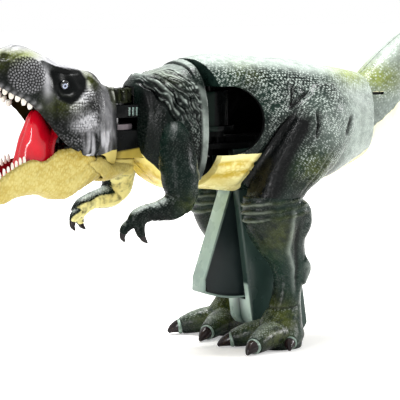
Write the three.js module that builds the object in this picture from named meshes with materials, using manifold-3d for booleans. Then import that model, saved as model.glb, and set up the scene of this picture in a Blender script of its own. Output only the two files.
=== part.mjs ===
// Dinosaur fidget toy: a two-legged meat eater with a grip between its legs.
// Squeezing the trigger in the grip curls the chest, head and tail to one side and shuts the jaw.
// Millimetres, +Z up, ground at Z = 0. The head points along -X, the tail along +X,
// and the toy's own left side is -Y. The origin is on the ground below the middle of the grip.
import * as THREE from 'three';
import { mergeVertices } from 'three/addons/utils/BufferGeometryUtils.js';
import Module from 'manifold-3d';

const wasm = await Module();
wasm.setup();

// Clearances
const SEAM = 0.3;
const FIT = 0.3;
const PLAY = 0.35;
const LEVEL_GAP = 0.4;

// Walls and round stock
const WALL = 2.4;
const PIN_R = 2;
const CRANK_PIN_R = 1.5;
const LEVER_PIN_R = 1.3;
const BOSS_WALL = 2.4;
const DECK = 2.8;

// Joint axes
const CHEST_AXIS_X = -30;
const NECK_AXIS_X = -87;
const TAIL_AXIS_X = 58;
const TRIGGER_AXIS_X = -13;
const TRIGGER_AXIS_Z = 92;
const JAW_AXIS_X = -113;
const JAW_AXIS_Z = 111;

// Travels
const DEG = Math.PI / 180;
const TRIGGER_TRAVEL = 20 * DEG;
const CHEST_TRAVEL = 24 * DEG;
const NECK_TRAVEL = 24 * DEG;
const TAIL_TRAVEL = 20 * DEG;
const JAW_TRAVEL = 33 * DEG;

// Cranks: each radius turns the stroke that drives it into the travel of its joint
const TRIGGER_ARM = 14;
const STROKE = TRIGGER_ARM * TRIGGER_TRAVEL;
const CHEST_CRANK = STROKE / CHEST_TRAVEL;
const TAIL_CRANK = STROKE / TAIL_TRAVEL;
const LINK_OFFSET = 7;
const LINK_STROKE = LINK_OFFSET * CHEST_TRAVEL;
const NECK_CRANK = LINK_STROKE / NECK_TRAVEL;
const JAW_LINK_STROKE = LINK_OFFSET * NECK_TRAVEL;
const JAW_LEVER = JAW_LINK_STROKE / JAW_TRAVEL;

// Levels of the stacked plates inside the body, each a deck and a gap above the last
const FRAME_Z = 108.6;
const SLIDER_Z = FRAME_Z + DECK + LEVEL_GAP;
const LINK_Z = SLIDER_Z + DECK + LEVEL_GAP;
const CRANK_Z = LINK_Z + DECK + LEVEL_GAP;
const FRAME_TOP = FRAME_Z + DECK;
const FRAME_BOSS_Z = FRAME_Z - 4;
const PIN_FLOOR = FRAME_BOSS_Z + 1 + FIT;
const SLIDER_TOP = SLIDER_Z + DECK;
const LINK_TOP = LINK_Z + DECK;
const CRANK_TOP = CRANK_Z + DECK;

// Waist: the opening in the side of the body that the chest swings into
const WAIST_TOP = 143;
const WAIST_FLOOR = 106.3;
const WAIST_REAR_X = -13.1;
const WAIST_REAR_R = (WAIST_TOP - WAIST_FLOOR) / 2;
const CHEST_RIM_X = -46.8;
const BODY_NOSE_R = CHEST_AXIS_X - CHEST_RIM_X - 2 * FIT;
const BACK_TOP = 158.9;
const KNUCKLE_TOP = CRANK_TOP + 18.6;
const CHEST_PIN_TOP = 152;

// Neck tongue and the yoke that turns on it
const TONGUE_TOP = 134;
const TONGUE_FLOOR = 106;
const TONGUE_R = 9.7;
const NECK_SLOT_Z = 120.6;
const NECK_LINK_Z = NECK_SLOT_Z + DECK + 2 * LEVEL_GAP;
const NECK_SLOT_TOP = NECK_LINK_Z + DECK + LEVEL_GAP;
const YOKE_R = 9.3;
const YOKE_TOP = 143.2;
const YOKE_FLOOR = 97.2;
const JAW_LINK_Z = TONGUE_TOP + LEVEL_GAP;
const JAW_LINK_TOP = JAW_LINK_Z + DECK;

// Head and mouth
const HEAD_REAR_X = -93;
const SNOUT_TIP_X = -170.4;
const MOUTH_X = -101;
const GUM_WIDTH = 3.2;
const UPPER_TOOTH_COUNT = 8;
const LOWER_TOOTH_COUNT = 7;
const TONGUE_HALF = 7.9;

// Tail
const TAIL_ROOT_X = 61;
const TAIL_LENGTH = 109.26;
const TAIL_PIN_TOP = 143.2;
const BODY_END_X = 64;

// Grip
const GRIP_HALF = 12;
const GRIP_TOP = FRAME_Z - FIT;
const TRIGGER_PIN_HALF = GRIP_HALF - 1.4;
const TRIGGER_HALF = 6.3;
const TRIGGER_MOUTH_HALF = TRIGGER_HALF + 0.7;
const TRIGGER_REACH = 66.3;
const TRIGGER_WALL = 1.9;
const HUB_R = 4.6;

// Legs
const KNEE_Z = 84;
const LEG_Y = 27;

// Screws
const SCREW_HEAD_R = 2.3;
const SCREW_HEAD_H = 1.4;
const SCREW_R = 1.2;

// Finishes
const GREEN = { color: 0x1f3d2b, roughness: 0.35, metalness: 0 };
const SAGE = { color: 0x4f7a5c, roughness: 0.35, metalness: 0 };
const OLIVE_BLACK = { color: 0x1a2018, roughness: 0.35, metalness: 0 };
const BLACK = { color: 0x0b0d0c, roughness: 0.45, metalness: 0 };
const CREAM = { color: 0xd9c25a, roughness: 0.4, metalness: 0 };
const RED = { color: 0xc01020, roughness: 0.15, metalness: 0 };
const IVORY = { color: 0xf0ead8, roughness: 0.3, metalness: 0 };
const STEEL = { color: 0x9a9fa3, roughness: 0.3, metalness: 1 };
const EYE = { color: 0x8fb6d8, roughness: 0.1, metalness: 0 };

// Solids from three.js geometry

function toSolid(geometry) {
  const bare = geometry.clone();
  bare.deleteAttribute('normal');
  bare.deleteAttribute('uv');
  const merged = mergeVertices(bare, 1e-4);
  const vertProperties = Float32Array.from(merged.attributes.position.array);
  const triVerts = Uint32Array.from(merged.index.array);
  return new wasm.Manifold(new wasm.Mesh({ numProp: 3, vertProperties, triVerts }));
}

function toGeometry(solid) {
  const mesh = solid.getMesh();
  const geometry = new THREE.BufferGeometry();
  const points = new Float32Array(mesh.numVert * 3);
  for (let i = 0; i < mesh.numVert; i += 1) {
    for (let k = 0; k < 3; k += 1) {
      points[3 * i + k] = mesh.vertProperties[mesh.numProp * i + k];
    }
  }
  geometry.setAttribute('position', new THREE.BufferAttribute(points, 3));
  geometry.setIndex(new THREE.BufferAttribute(Uint32Array.from(mesh.triVerts), 1));
  return geometry;
}

const union = (first, ...rest) => rest.reduce((sum, solid) => sum.add(solid), first);
const cut = (first, ...rest) => rest.reduce((left, solid) => left.subtract(solid), first);

function box(x0, x1, y0, y1, z0, z1) {
  const geometry = new THREE.BoxGeometry(x1 - x0, y1 - y0, z1 - z0);
  geometry.translate((x0 + x1) / 2, (y0 + y1) / 2, (z0 + z1) / 2);
  return toSolid(geometry);
}

function postZ(radius, z0, z1, x, y, sides = 14) {
  const geometry = new THREE.CylinderGeometry(radius, radius, z1 - z0, sides);
  geometry.rotateX(Math.PI / 2);
  geometry.translate(x, y, (z0 + z1) / 2);
  return toSolid(geometry);
}

function rodY(radius, y0, y1, x, z, sides = 14) {
  const geometry = new THREE.CylinderGeometry(radius, radius, Math.abs(y1 - y0), sides);
  geometry.translate(x, (y0 + y1) / 2, z);
  return toSolid(geometry);
}

function outline(points) {
  return new THREE.Shape(points.map(([a, b]) => new THREE.Vector2(a, b)));
}

// A plate whose outline is drawn in X and Z, from y0 to y1
function sidePlate(points, y0, y1) {
  const geometry = new THREE.ExtrudeGeometry(outline(points), { depth: y1 - y0, bevelEnabled: false });
  geometry.rotateX(Math.PI / 2);
  geometry.translate(0, y1, 0);
  return toSolid(geometry);
}

// A plate whose outline is drawn in X and Y, from z0 to z1
function floorPlate(points, z0, z1) {
  const geometry = new THREE.ExtrudeGeometry(outline(points), { depth: z1 - z0, bevelEnabled: false });
  geometry.translate(0, 0, z0);
  return toSolid(geometry);
}

// A closed skin over a run of rings that all have the same number of points
function skin(rings) {
  const count = rings[0].length;
  const points = rings.flat();
  const faces = [];
  for (let r = 0; r + 1 < rings.length; r += 1) {
    for (let k = 0; k < count; k += 1) {
      const a = r * count + k;
      const b = r * count + ((k + 1) % count);
      faces.push([a, b, a + count], [b, b + count, a + count]);
    }
  }
  for (const [start, turn] of [[0, 1], [(rings.length - 1) * count, -1]]) {
    const middle = points.length;
    const ring = points.slice(start, start + count);
    points.push(ring.reduce((sum, p) => sum.clone().add(p), new THREE.Vector3()).divideScalar(count));
    for (let k = 0; k < count; k += 1) {
      const a = start + k;
      const b = start + ((k + 1) % count);
      faces.push(turn > 0 ? [middle, b, a] : [middle, a, b]);
    }
  }
  const volume = faces.reduce((sum, [a, b, c]) => sum
    + points[a].dot(points[b].clone().cross(points[c])), 0);
  const geometry = new THREE.BufferGeometry().setFromPoints(points);
  geometry.setIndex(faces.flatMap(([a, b, c]) => (volume > 0 ? [a, b, c] : [a, c, b])));
  return toSolid(geometry);
}

// A point on a superellipse: a high power gives a boxy section, 2 gives an ellipse
function onSection(angle, powerUp, powerDown) {
  const c = Math.cos(angle);
  const s = Math.sin(angle);
  const e = 2 / (s >= 0 ? powerUp : powerDown);
  return [Math.sign(c) * Math.abs(c) ** e, Math.sign(s) * Math.abs(s) ** e];
}

// Body sections square to X: top and floor heights, half width, height of the widest place
function alongX(stations, grow = 0, sides = 20) {
  return skin(stations.map(({ x, top, floor, half, wide = (top + floor) / 2, up = 2.4, down = 2.4 }) => {
    const ring = [];
    for (let k = 0; k < sides; k += 1) {
      const [c, s] = onSection((2 * Math.PI * k) / sides, up, down);
      const reach = s >= 0 ? top - wide : wide - floor;
      ring.push(new THREE.Vector3(x, c * (half + grow), wide + s * (reach + grow)));
    }
    return ring;
  }));
}

// Upright sections square to Z, for thighs and shanks
function alongZ(stations, side, grow = 0, sides = 16) {
  return skin(stations.map(({ z, front, rear, y, half }) => {
    const ring = [];
    for (let k = 0; k < sides; k += 1) {
      const [c, s] = onSection((2 * Math.PI * k) / sides, 2.2, 2.2);
      const x = (front + rear) / 2 + c * ((rear - front) / 2 + grow);
      ring.push(new THREE.Vector3(x, side * y + s * (half + grow), z));
    }
    return ring;
  }));
}

// Sections square to a path that stays in the XZ plane, each tilted by its own angle
function alongTail(stations, grow = 0, sides = 14) {
  return skin(stations.map(({ x, z, tilt, wide, tall }) => {
    const up = new THREE.Vector3(-Math.sin(tilt * DEG), 0, Math.cos(tilt * DEG));
    const ring = [];
    for (let k = 0; k < sides; k += 1) {
      const [c, s] = onSection((2 * Math.PI * k) / sides, 2.2, 2.2);
      const point = new THREE.Vector3(x, c * (wide + grow), z);
      ring.push(point.addScaledVector(up, s * (tall + grow)));
    }
    return ring;
  }));
}

// Round sections square to any path: stations are [x, y, z, radius]
function alongPath(stations, side, sides = 10) {
  const centres = stations.map(([x, y, z]) => new THREE.Vector3(x, side * y, z));
  const spare = new THREE.Vector3(0.2, side, 0.1).normalize();
  return skin(stations.map((station, i) => {
    const before = centres[Math.max(i - 1, 0)];
    const after = centres[Math.min(i + 1, centres.length - 1)];
    const ahead = after.clone().sub(before).normalize();
    const across = spare.clone().addScaledVector(ahead, -spare.dot(ahead)).normalize();
    const third = ahead.clone().cross(across);
    const ring = [];
    for (let k = 0; k < sides; k += 1) {
      const a = (2 * Math.PI * k) / sides;
      const point = centres[i].clone().addScaledVector(across, Math.cos(a) * station[3]);
      ring.push(point.addScaledVector(third, Math.sin(a) * station[3]));
    }
    return ring;
  }));
}

// A convex outline with every edge moved inwards by a distance
function inset(points, distance) {
  const area = points.reduce((sum, [x, y], i) => {
    const [nx, ny] = points[(i + 1) % points.length];
    return sum + x * ny - nx * y;
  }, 0);
  const turn = Math.sign(area);
  const edges = points.map(([x, y], i) => {
    const [nx, ny] = points[(i + 1) % points.length];
    const length = Math.hypot(nx - x, ny - y);
    const normal = [(-turn * (ny - y)) / length, (turn * (nx - x)) / length];
    return { point: [x + normal[0] * distance, y + normal[1] * distance], along: [nx - x, ny - y] };
  });
  return edges.map((edge, i) => {
    const last = edges[(i + edges.length - 1) % edges.length];
    const cross = last.along[0] * edge.along[1] - last.along[1] * edge.along[0];
    const dx = edge.point[0] - last.point[0];
    const dy = edge.point[1] - last.point[1];
    const t = (dx * edge.along[1] - dy * edge.along[0]) / cross;
    return [last.point[0] + t * last.along[0], last.point[1] + t * last.along[1]];
  });
}

function arc(cx, cy, radius, from, to, steps) {
  const points = [];
  for (let i = 0; i <= steps; i += 1) {
    const a = from + ((to - from) * i) / steps;
    points.push([cx + radius * Math.cos(a), cy + radius * Math.sin(a)]);
  }
  return points;
}

// Everything on one side of the seam, less half of the seam's gap
const FAR = 400;
const half = (side) => (side > 0
  ? box(-FAR, FAR, SEAM / 2, FAR, -FAR, FAR)
  : box(-FAR, FAR, -FAR, -SEAM / 2, -FAR, FAR));

// Where a crank pin stands at rest: half its travel behind the square position,
// or half of it ahead where the travel is negative
function crankPin(axisX, radius, side, travel) {
  return {
    x: axisX + radius * Math.sin(travel / 2),
    y: side * radius * Math.cos(travel / 2),
  };
}

const chestPin = crankPin(CHEST_AXIS_X, CHEST_CRANK, 1, CHEST_TRAVEL);
const tailPin = crankPin(TAIL_AXIS_X, TAIL_CRANK, -1, TAIL_TRAVEL);
const linkAnchor = crankPin(CHEST_AXIS_X, LINK_OFFSET, -1, CHEST_TRAVEL);
const neckPin = crankPin(NECK_AXIS_X, NECK_CRANK, 1, NECK_TRAVEL);
const jawAnchor = crankPin(NECK_AXIS_X, LINK_OFFSET, 1, -NECK_TRAVEL);
const armPin = {
  x: TRIGGER_AXIS_X + TRIGGER_ARM * Math.sin(TRIGGER_TRAVEL / 2),
  z: TRIGGER_AXIS_Z + TRIGGER_ARM * Math.cos(TRIGGER_TRAVEL / 2),
};
const leverPin = {
  x: JAW_AXIS_X - JAW_LEVER * Math.sin(JAW_TRAVEL / 2),
  z: JAW_AXIS_Z + JAW_LEVER * Math.cos(JAW_TRAVEL / 2),
};

// Torso, from the nose over the chest joint to the end at the tail
const torso = [
  { x: -48, top: 157.2, floor: 87.4, half: 23.5 },
  { x: -36, top: 158.7, floor: 86.4, half: 27.5 },
  { x: -20, top: 158.9, floor: 84.6, half: 30 },
  { x: 0, top: 157.6, floor: 84, half: 32.5 },
  { x: 20, top: 155.4, floor: 84.8, half: 33 },
  { x: 38, top: 152.8, floor: 88, half: 30.5 },
  { x: 52, top: 149.8, floor: 93.4, half: 26 },
  { x: BODY_END_X, top: 147, floor: 98.6, half: 22.4 },
];
const torsoHollow = [
  { ...torso[0], x: CHEST_AXIS_X - BODY_NOSE_R + WALL },
  ...torso.slice(1, -1),
  { ...torso[torso.length - 1], x: BODY_END_X + 1 },
];
const thigh = [
  { z: 143, front: 17, rear: 34, y: 23, half: 8 },
  { z: 133, front: 6, rear: 43, y: 25, half: 13.5 },
  { z: 120, front: -2, rear: 45.5, y: 25.5, half: 16.3 },
  { z: 106, front: -10, rear: 37, y: 26, half: 16.6 },
  { z: 94, front: -16.5, rear: 25, y: 26.5, half: 15.2 },
  { z: KNEE_Z, front: -20, rear: 13, y: LEG_Y, half: 13.2 },
];
const thighHollow = [...thigh.slice(1, -1), { ...thigh[thigh.length - 1], z: KNEE_Z - 1 }];

// Grip outline in X and Z
const grip = [
  [-21.8, GRIP_TOP],
  [-8.8, 13.2],
  [-5.5, 9.4],
  [19.9, 5.6],
  [25, 6],
  [27.3, 9.5],
  [21.1, 50.3],
  [13, GRIP_TOP],
];

// Plan of the space in front of the body's nose that the chest sweeps through
const nose = (behind = 0) => {
  const swing = CHEST_TRAVEL;
  const points = arc(CHEST_AXIS_X, 0, BODY_NOSE_R, Math.PI - swing, Math.PI + swing, 6);
  const tangent = (side) => {
    const reach = 60;
    return [
      CHEST_AXIS_X - BODY_NOSE_R * Math.cos(swing) + reach * Math.sin(swing),
      side * (BODY_NOSE_R * Math.sin(swing) + reach * Math.cos(swing)),
    ];
  };
  const front = [...points, tangent(-1), [-FAR, -FAR], [-FAR, FAR], tangent(1)];
  return front.map(([x, y]) => [x + behind, y]);
};

const waistCut = () => {
  const middle = (WAIST_TOP + WAIST_FLOOR) / 2;
  const front = CHEST_AXIS_X - 40;
  const rear = WAIST_REAR_X - WAIST_REAR_R;
  const round = arc(rear, middle, WAIST_REAR_R, -Math.PI / 2, Math.PI / 2, 12);
  return sidePlate([[front, WAIST_FLOOR], ...round, [front, WAIST_TOP]], -60, 60);
};

// Screws: one row for each, with the half width of its head's seat
const bodyScrews = [
  { name: 'body_screw_upper_front', x: 4, z: 147, seat: 20, root: 6 },
  { name: 'body_screw_upper_rear', x: 44, z: 141, seat: 17, root: 6 },
  { name: 'body_screw_lower_rear', x: 32, z: 97, seat: 17, root: 6 },
];
const gripScrews = [
  { name: 'grip_screw_upper', x: 11, z: 78, seat: GRIP_HALF - SCREW_HEAD_H, root: 6 },
  { name: 'grip_screw_lower', x: 8, z: 15, seat: GRIP_HALF - SCREW_HEAD_H, root: 6 },
];
const chestScrews = [
  { name: 'chest_screw_upper', x: -57, z: 146, seat: 15, root: 6 },
  { name: 'chest_screw_lower', x: -57, z: 95, seat: 15, root: 6 },
];
const headScrews = [
  { name: 'head_screw_rear', x: -112, z: 147.5, seat: 11, root: 6 },
  { name: 'head_screw_front', x: -151, z: 158.5, seat: 6.5, root: 4 },
];
const tailScrews = [
  { name: 'tail_screw_front', x: TAIL_ROOT_X + 0.229 * TAIL_LENGTH, z: 138, seat: 12.5, root: 6 },
  { name: 'tail_screw_rear', x: TAIL_ROOT_X + 0.467 * TAIL_LENGTH, z: 165.5, seat: 7.5, root: 4 },
];

const bossR = SCREW_R + BOSS_WALL;

function screw({ x, z, seat, root }) {
  return union(
    rodY(SCREW_HEAD_R, seat, seat + SCREW_HEAD_H, x, z, 10),
    rodY(SCREW_R, -root, seat + 0.2, x, z, 6),
  );
}

// Bosses inside a half shell, and the holes that the screws pass through
function withBosses(shell, outer, side, screws) {
  let solid = shell;
  for (const { x, z } of screws) {
    solid = solid.add(rodY(bossR, side * SEAM / 2, side * 45, x, z, 10).intersect(outer));
  }
  for (const { x, z, seat, root } of screws) {
    if (side > 0) {
      solid = cut(
        solid,
        rodY(SCREW_HEAD_R + FIT, seat - FIT, 60, x, z, 10),
        rodY(SCREW_R + FIT, -1, seat, x, z, 6),
      );
    } else {
      solid = solid.subtract(rodY(SCREW_R + FIT, -root - FIT, 1, x, z, 6));
    }
  }
  return solid;
}

// Body shells: torso and thigh in one skin, open at the waist, knee, belly and tail
const torsoOuter = alongX(torso, 0, 20);
const torsoInner = alongX(torsoHollow, -WALL, 20);

function bodyShell(side) {
  const outer = torsoOuter.add(alongZ(thigh, side));
  const inner = torsoInner.add(alongZ(thighHollow, side, -WALL));
  const axisBoss = union(
    postZ(PIN_R + BOSS_WALL, KNUCKLE_TOP + LEVEL_GAP, BACK_TOP, CHEST_AXIS_X, 0, 12),
    postZ(PIN_R + BOSS_WALL, TAIL_PIN_TOP - 4.6, BACK_TOP, TAIL_AXIS_X, 0, 12),
  ).intersect(torsoOuter);
  const noseWall = floorPlate(nose(WALL), WAIST_TOP, BACK_TOP + 1).intersect(torsoOuter);
  let shell = outer.subtract(inner).add(axisBoss).add(noseWall).intersect(half(side));
  shell = withBosses(shell, outer.intersect(half(side)), side, bodyScrews);
  return cut(
    shell,
    waistCut(),
    floorPlate(nose(), 60, 200),
    sidePlate(inset(grip, -FIT), -GRIP_HALF - FIT, GRIP_HALF + FIT),
    box(-23, -8, -TRIGGER_MOUTH_HALF, TRIGGER_MOUTH_HALF, 80, 100),
    postZ(PIN_R + FIT, FRAME_Z, CHEST_PIN_TOP + FIT, CHEST_AXIS_X, 0, 12),
    postZ(PIN_R + FIT, FRAME_Z, TAIL_PIN_TOP + FIT, TAIL_AXIS_X, 0, 12),
  );
}

// Inner frame: the deck that the slider runs on, held in the body shells
function innerFrame() {
  const deck = box(-12, 50, -40, 40, FRAME_Z, FRAME_TOP)
    .intersect(alongX(torsoHollow, -WALL - FIT, 20));
  const rear = box(49, TAIL_AXIS_X + 2, -6, 6, FRAME_Z, FRAME_TOP);
  const neck = box(CHEST_AXIS_X, -11, -12, 12, FRAME_Z, FRAME_TOP);
  const round = postZ(12, FRAME_Z, FRAME_TOP, CHEST_AXIS_X, 0, 18);
  const bosses = union(
    postZ(PIN_R + BOSS_WALL, FRAME_BOSS_Z, FRAME_Z + 1, CHEST_AXIS_X, 0, 12),
    postZ(PIN_R + BOSS_WALL, FRAME_BOSS_Z, FRAME_Z + 1, TAIL_AXIS_X, 0, 12),
  );
  const anchor = postZ(CRANK_PIN_R, FRAME_Z + 1, LINK_TOP - 0.2, linkAnchor.x, linkAnchor.y, 12);
  const rails = union(
    box(-4, 48, 5.2, 7.2, FRAME_TOP - 0.5, SLIDER_TOP),
    box(-4, 40, -7.2, -5.2, FRAME_TOP - 0.5, SLIDER_TOP),
  );
  const lugSlot = box(
    armPin.x - 5 - STROKE - FIT, armPin.x + 5 + FIT, -6.2, 6.2, FRAME_Z - 1, FRAME_TOP + 1);
  return cut(
    union(deck, rear, neck, round, bosses, anchor, rails),
    lugSlot,
    postZ(PIN_R + FIT, PIN_FLOOR - FIT, FRAME_TOP + 1, CHEST_AXIS_X, 0, 12),
    postZ(PIN_R + FIT, PIN_FLOOR - FIT, FRAME_TOP + 1, TAIL_AXIS_X, 0, 12),
  );
}

// Drive slider: moves towards the head and turns the chest and tail cranks
function slider() {
  const bar = box(-36, 62, -4.8, 4.8, SLIDER_Z, SLIDER_TOP);
  const crosshead = (pin, from, to) => box(pin.x - 3.6, pin.x + 3.6, from, to, SLIDER_Z, SLIDER_TOP);
  const front = crosshead(chestPin, 0, chestPin.y + CRANK_PIN_R + PLAY + 2);
  const rear = crosshead(tailPin, tailPin.y - CRANK_PIN_R - PLAY - 2, 0);
  const lug = (y0, y1) => box(armPin.x - 5, armPin.x + 5, y0, y1, TRIGGER_AXIS_Z + 10.6, SLIDER_Z + 1);
  const pinSlot = (pin, travel, radius) => {
    const rise = radius * (1 - Math.cos(travel / 2));
    const sideways = Math.sign(pin.y) * rise;
    return union(
      postZ(CRANK_PIN_R + PLAY, SLIDER_Z - 1, SLIDER_TOP + 1, pin.x, pin.y, 16),
      postZ(CRANK_PIN_R + PLAY, SLIDER_Z - 1, SLIDER_TOP + 1, pin.x, pin.y + sideways, 16),
    );
  };
  const axisSlot = (x) => box(
    x - PIN_R - PLAY, x + STROKE + PIN_R + PLAY, -PIN_R - PLAY, PIN_R + PLAY,
    SLIDER_Z - 1, SLIDER_TOP + 1);
  const anchorSlot = box(
    linkAnchor.x - CRANK_PIN_R - PLAY, linkAnchor.x + STROKE + CRANK_PIN_R + PLAY,
    linkAnchor.y - CRANK_PIN_R - PLAY, -3.2, SLIDER_Z - 1, SLIDER_TOP + 1);
  const armSlot = box(
    armPin.x - CRANK_PIN_R - PLAY, armPin.x + CRANK_PIN_R + PLAY, -7, 7,
    TRIGGER_AXIS_Z + 10, TRIGGER_AXIS_Z + TRIGGER_ARM + CRANK_PIN_R + PLAY);
  return cut(
    union(bar, front, rear, lug(3.1, 5.8), lug(-5.8, -3.1)),
    pinSlot(chestPin, CHEST_TRAVEL, CHEST_CRANK),
    pinSlot(tailPin, TAIL_TRAVEL, TAIL_CRANK),
    axisSlot(CHEST_AXIS_X),
    axisSlot(TAIL_AXIS_X),
    anchorSlot,
    armSlot,
  );
}

// Grip shells between the legs, open in front for the trigger
const gripHollow = inset(grip, WALL);
gripHollow[0][1] = GRIP_TOP + 2;
gripHollow[gripHollow.length - 1][1] = GRIP_TOP + 2;

function gripShell(side) {
  const outer = sidePlate(grip, -GRIP_HALF, GRIP_HALF);
  const inner = sidePlate(gripHollow, -GRIP_HALF + WALL, GRIP_HALF - WALL);
  const slotFloor = TRIGGER_AXIS_Z - TRIGGER_REACH - 1;
  const shell = outer.subtract(inner).intersect(half(side));
  return cut(
    withBosses(shell, outer.intersect(half(side)), side, gripScrews),
    box(-40, 0, -TRIGGER_MOUTH_HALF, TRIGGER_MOUTH_HALF, slotFloor, GRIP_TOP + 1)
      .subtract(box(-6, 1, -9, 9, slotFloor - 1, 30)),
    rodY(PIN_R + FIT, -TRIGGER_PIN_HALF - FIT, TRIGGER_PIN_HALF + FIT, TRIGGER_AXIS_X, TRIGGER_AXIS_Z),
  );
}

// Trigger: a hollow wedge round its pin, with a flat finger face and a round bottom
const triggerFace = { top: [-19.6, 86], bottom: [-36.5, 37.4] };

function wedge(reach, shift, low) {
  const [tx, tz] = triggerFace.top;
  const [bx, bz] = triggerFace.bottom;
  const length = Math.hypot(tx - bx, tz - bz);
  const nx = (tz - bz) / length;
  const nz = -(tx - bx) / length;
  const from = Math.atan2(bz - 4.5 - TRIGGER_AXIS_Z, bx + 0.8 - TRIGGER_AXIS_X);
  const to = Math.atan2(-1, 0.07);
  const bow = arc(TRIGGER_AXIS_X, TRIGGER_AXIS_Z, reach, from + low, to + low, 8);
  return [
    [tx + nx * shift, tz + nz * shift],
    [bx + nx * shift, bz + nz * shift],
    ...bow,
    [TRIGGER_AXIS_X + HUB_R - 0.6, TRIGGER_AXIS_Z],
    [TRIGGER_AXIS_X - HUB_R + 1.5 + shift, TRIGGER_AXIS_Z],
  ];
}

function trigger() {
  const inside = TRIGGER_HALF - TRIGGER_WALL;
  const body = sidePlate(wedge(TRIGGER_REACH, 0, 0), -TRIGGER_HALF, TRIGGER_HALF);
  const hollow = sidePlate(wedge(TRIGGER_REACH - TRIGGER_WALL, TRIGGER_WALL, 0.04), -inside, inside)
    .subtract(box(-30, 10, -9, 9, TRIGGER_AXIS_Z - HUB_R - 2, 120));
  const hub = rodY(HUB_R, -TRIGGER_HALF, TRIGGER_HALF, TRIGGER_AXIS_X, TRIGGER_AXIS_Z, 24);
  const tilt = TRIGGER_TRAVEL / 2;
  const armSide = [Math.cos(tilt) * 2.6, -Math.sin(tilt) * 2.6];
  const armEnd = [armPin.x + Math.sin(tilt) * 2.4, armPin.z + Math.cos(tilt) * 2.4];
  const arm = sidePlate([
    [TRIGGER_AXIS_X - armSide[0], TRIGGER_AXIS_Z - armSide[1]],
    [armEnd[0] - armSide[0] * 0.8, armEnd[1] - armSide[1] * 0.8],
    [armEnd[0] + armSide[0] * 0.8, armEnd[1] + armSide[1] * 0.8],
    [TRIGGER_AXIS_X + armSide[0], TRIGGER_AXIS_Z + armSide[1]],
  ], -2.7, 2.7);
  const pin = rodY(CRANK_PIN_R, -5.8, 5.8, armPin.x, armPin.z, 14);
  return cut(
    union(body.subtract(hollow), hub, arm, pin),
    rodY(PIN_R + FIT, -10, 10, TRIGGER_AXIS_X, TRIGGER_AXIS_Z),
  );
}

// Return spring: a torsion coil round the trigger's pin, between trigger and grip wall
function spring() {
  const turns = 2.5;
  const wire = 0.35;
  const radius = PIN_R + FIT + wire + 0.5;
  const start = TRIGGER_HALF + wire + 0.3;
  const length = GRIP_HALF - WALL - TRIGGER_HALF - 2 * wire - 0.6;
  const steps = 16 * turns;
  const sides = 5;
  const rings = [];
  for (let i = 0; i <= steps; i += 1) {
    const a = (2 * Math.PI * turns * i) / steps;
    const centre = new THREE.Vector3(
      TRIGGER_AXIS_X + radius * Math.cos(a), start + (length * i) / steps,
      TRIGGER_AXIS_Z + radius * Math.sin(a));
    const out = new THREE.Vector3(Math.cos(a), 0, Math.sin(a));
    const ring = [];
    for (let k = 0; k < sides; k += 1) {
      const b = (2 * Math.PI * k) / sides;
      const point = centre.clone().addScaledVector(out, wire * Math.cos(b));
      ring.push(point.add(new THREE.Vector3(0, wire * Math.sin(b), 0)));
    }
    rings.push(ring);
  }
  return skin(rings);
}

// Leg below the knee: cuff, shank and a splayed foot with three toes, on flat soles
const shank = [
  { z: KNEE_Z - FIT, front: -22.6, rear: 9, y: LEG_Y, half: 12.6 },
  { z: 76, front: -23, rear: 16.5, y: LEG_Y, half: 12.8 },
  { z: 69, front: -22, rear: 17, y: LEG_Y, half: 12.2 },
  { z: 60, front: -18, rear: 14, y: 26.7, half: 10.6 },
  { z: 51, front: -11, rear: 14.5, y: 26.4, half: 9 },
  { z: 43, front: -4.6, rear: 16.5, y: 26.2, half: 8 },
  { z: 33, front: -3.3, rear: 12.3, y: 26.2, half: 7.4 },
  { z: 24, front: -6, rear: 11.6, y: 26.4, half: 7.6 },
  { z: 15, front: -12, rear: 11.8, y: 27, half: 9.2 },
  { z: 7, front: -15, rear: 12, y: 27.5, half: 10.4 },
  { z: 0, front: -12, rear: 11, y: 27.5, half: 9.4 },
];
const shankHollow = [
  { z: KNEE_Z + 8, front: -13, rear: 12.5, y: 26.7, half: 9.6 },
  { z: KNEE_Z - 4, front: -17, rear: 9.5, y: LEG_Y, half: 9.6 },
  ...shank.slice(2, 6),
];
const toes = [
  [[-4, 24, 9, 8], [-14, 18, 8, 7.2], [-21, 14, 6, 5.6], [-25.5, 11.6, 3.8, 3.4], [-28.5, 10, 1.4, 1]],
  [[-4, 29, 9, 8], [-15, 34.5, 8, 7.2], [-23, 38.4, 6, 5.6], [-27.5, 40.6, 3.8, 3.4], [-30.5, 42.2, 1.4, 1]],
  [[4, 29, 8, 7.4], [1, 34, 6.6, 6], [-1.4, 37.4, 4.6, 4], [-3.4, 40.4, 1.6, 1.2]],
];

function leg(side) {
  const spigot = alongZ([
    { z: KNEE_Z - 4, front: -17, rear: 9.5, y: LEG_Y, half: 9.6 },
    { z: KNEE_Z + 7, front: -13, rear: 12.5, y: 26.7, half: 9.6 },
  ], side, 0, 12);
  const foot = toes.map((toe) => alongPath(toe, side, 7));
  const solid = union(alongZ(shank, side, 0, 14), spigot, ...foot)
    .intersect(box(-60, 60, -60, 60, 0, 120));
  return solid.subtract(alongZ(shankHollow, side, -WALL, 12));
}

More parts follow.
